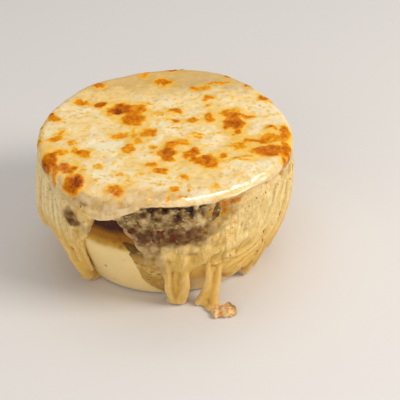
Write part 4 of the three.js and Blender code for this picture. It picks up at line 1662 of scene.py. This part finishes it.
# Lamps: place, aim, size, power and colour
lamps = {
    "window": ((0.90, -0.30, 0.75), (0, 0, 0.03), (0.5, 0.4), 9.4, (1, 0.97, 0.93)),
    "overhead": ((-0.1, 0.35, 1.1), (0, 0, 0.03), (0.9, 0.9), 2.6, (1, 0.98, 0.95)),
    "fill": ((-0.45, -1, 0.45), (0, 0, 0.03), (0.9, 0.9), 4.4, (1, 0.98, 0.96)),
    "sparkle": ((-0.30, -1, 0.55), (0, 0, 0.04), (0.12, 0.09), 1.2, (1, 0.98, 0.96)),
    "glint": ((0.26, 0.42, 0.96), (0.03, -0.045, 0.06), (0.34, 0.22), 7, (1, 0.99, 0.97)),
}


def makeFloor():
    bm = bmesh.new()
    bmesh.ops.create_grid(bm, x_segments=2, y_segments=2, size=studio["floorHalf"])
    floor = linked("floor", meshOf(bm, "floor"))
    material, at = newMaterial("paleFloor")
    finishMaterial(at, {
        "Base Color": at.noise(3, 2).mix(studio["floor"], studio["paleFloor"]),
        "Roughness": 0.7 + at.noise(300, 2) * 0.1,
    })
    floor.data.materials.append(material)


def makeLight(name, place, aim, size, power, colour):
    data = bpy.data.lights.new(name, "AREA")
    data.shape = "RECTANGLE"
    data.size, data.size_y = size
    data.energy = power
    data.color = colour
    light = linked(name, data)
    light.location = place
    light.rotation_mode = "QUATERNION"
    light.rotation_quaternion = (Vector(aim) - Vector(place)).to_track_quat("-Z", "Y")
    return light


def makeCamera():
    elevation = math.radians(studio["elevation"])
    roll = math.radians(studio["roll"])
    forward = Vector((0, math.cos(elevation), -math.sin(elevation)))
    across = Vector((1, 0, 0))
    upward = Vector((0, math.sin(elevation), math.cos(elevation)))
    place = Vector(studio["target"]) - forward * studio["distance"]
    rightward = across * math.cos(roll) + upward * math.sin(roll)
    downward = across * math.sin(roll) - upward * math.cos(roll)
    focal = studio["lens"] / studio["sensor"] * studio["picture"]
    aim = (forward * focal + rightward * studio["right"] + downward * studio["down"]).normalized()
    xAxis = (rightward - aim * rightward.dot(aim)).normalized()
    zAxis = -aim
    yAxis = zAxis.cross(xAxis)
    data = bpy.data.cameras.new("camera")
    data.lens = studio["lens"]
    data.sensor_width = studio["sensor"]
    data.clip_start = 0.01
    data.clip_end = 20
    camera = linked("camera", data)
    camera.matrix_world = Matrix.Translation(place) @ Matrix((xAxis, yAxis, zAxis)).transposed().to_4x4()
    bpy.context.scene.camera = camera


def makeWorld():
    world = bpy.data.worlds.new("studio")
    bpy.context.scene.world = world
    world.use_nodes = True
    background = world.node_tree.nodes["Background"]
    background.inputs["Color"].default_value = studio["sky"]
    background.inputs["Strength"].default_value = studio["skyStrength"]


makeFloor()
makeWorld()
lights = {name: makeLight(name, *lamp) for name, lamp in lamps.items()}
lights["fill"].visible_glossy = False  # so that the dark onions keep their colour
lights["sparkle"].visible_diffuse = False
lights["glint"].visible_diffuse = False  # only the shine on the wet lip
makeCamera()
bpy.context.scene.view_settings.view_transform = "Standard"

print("studio set")
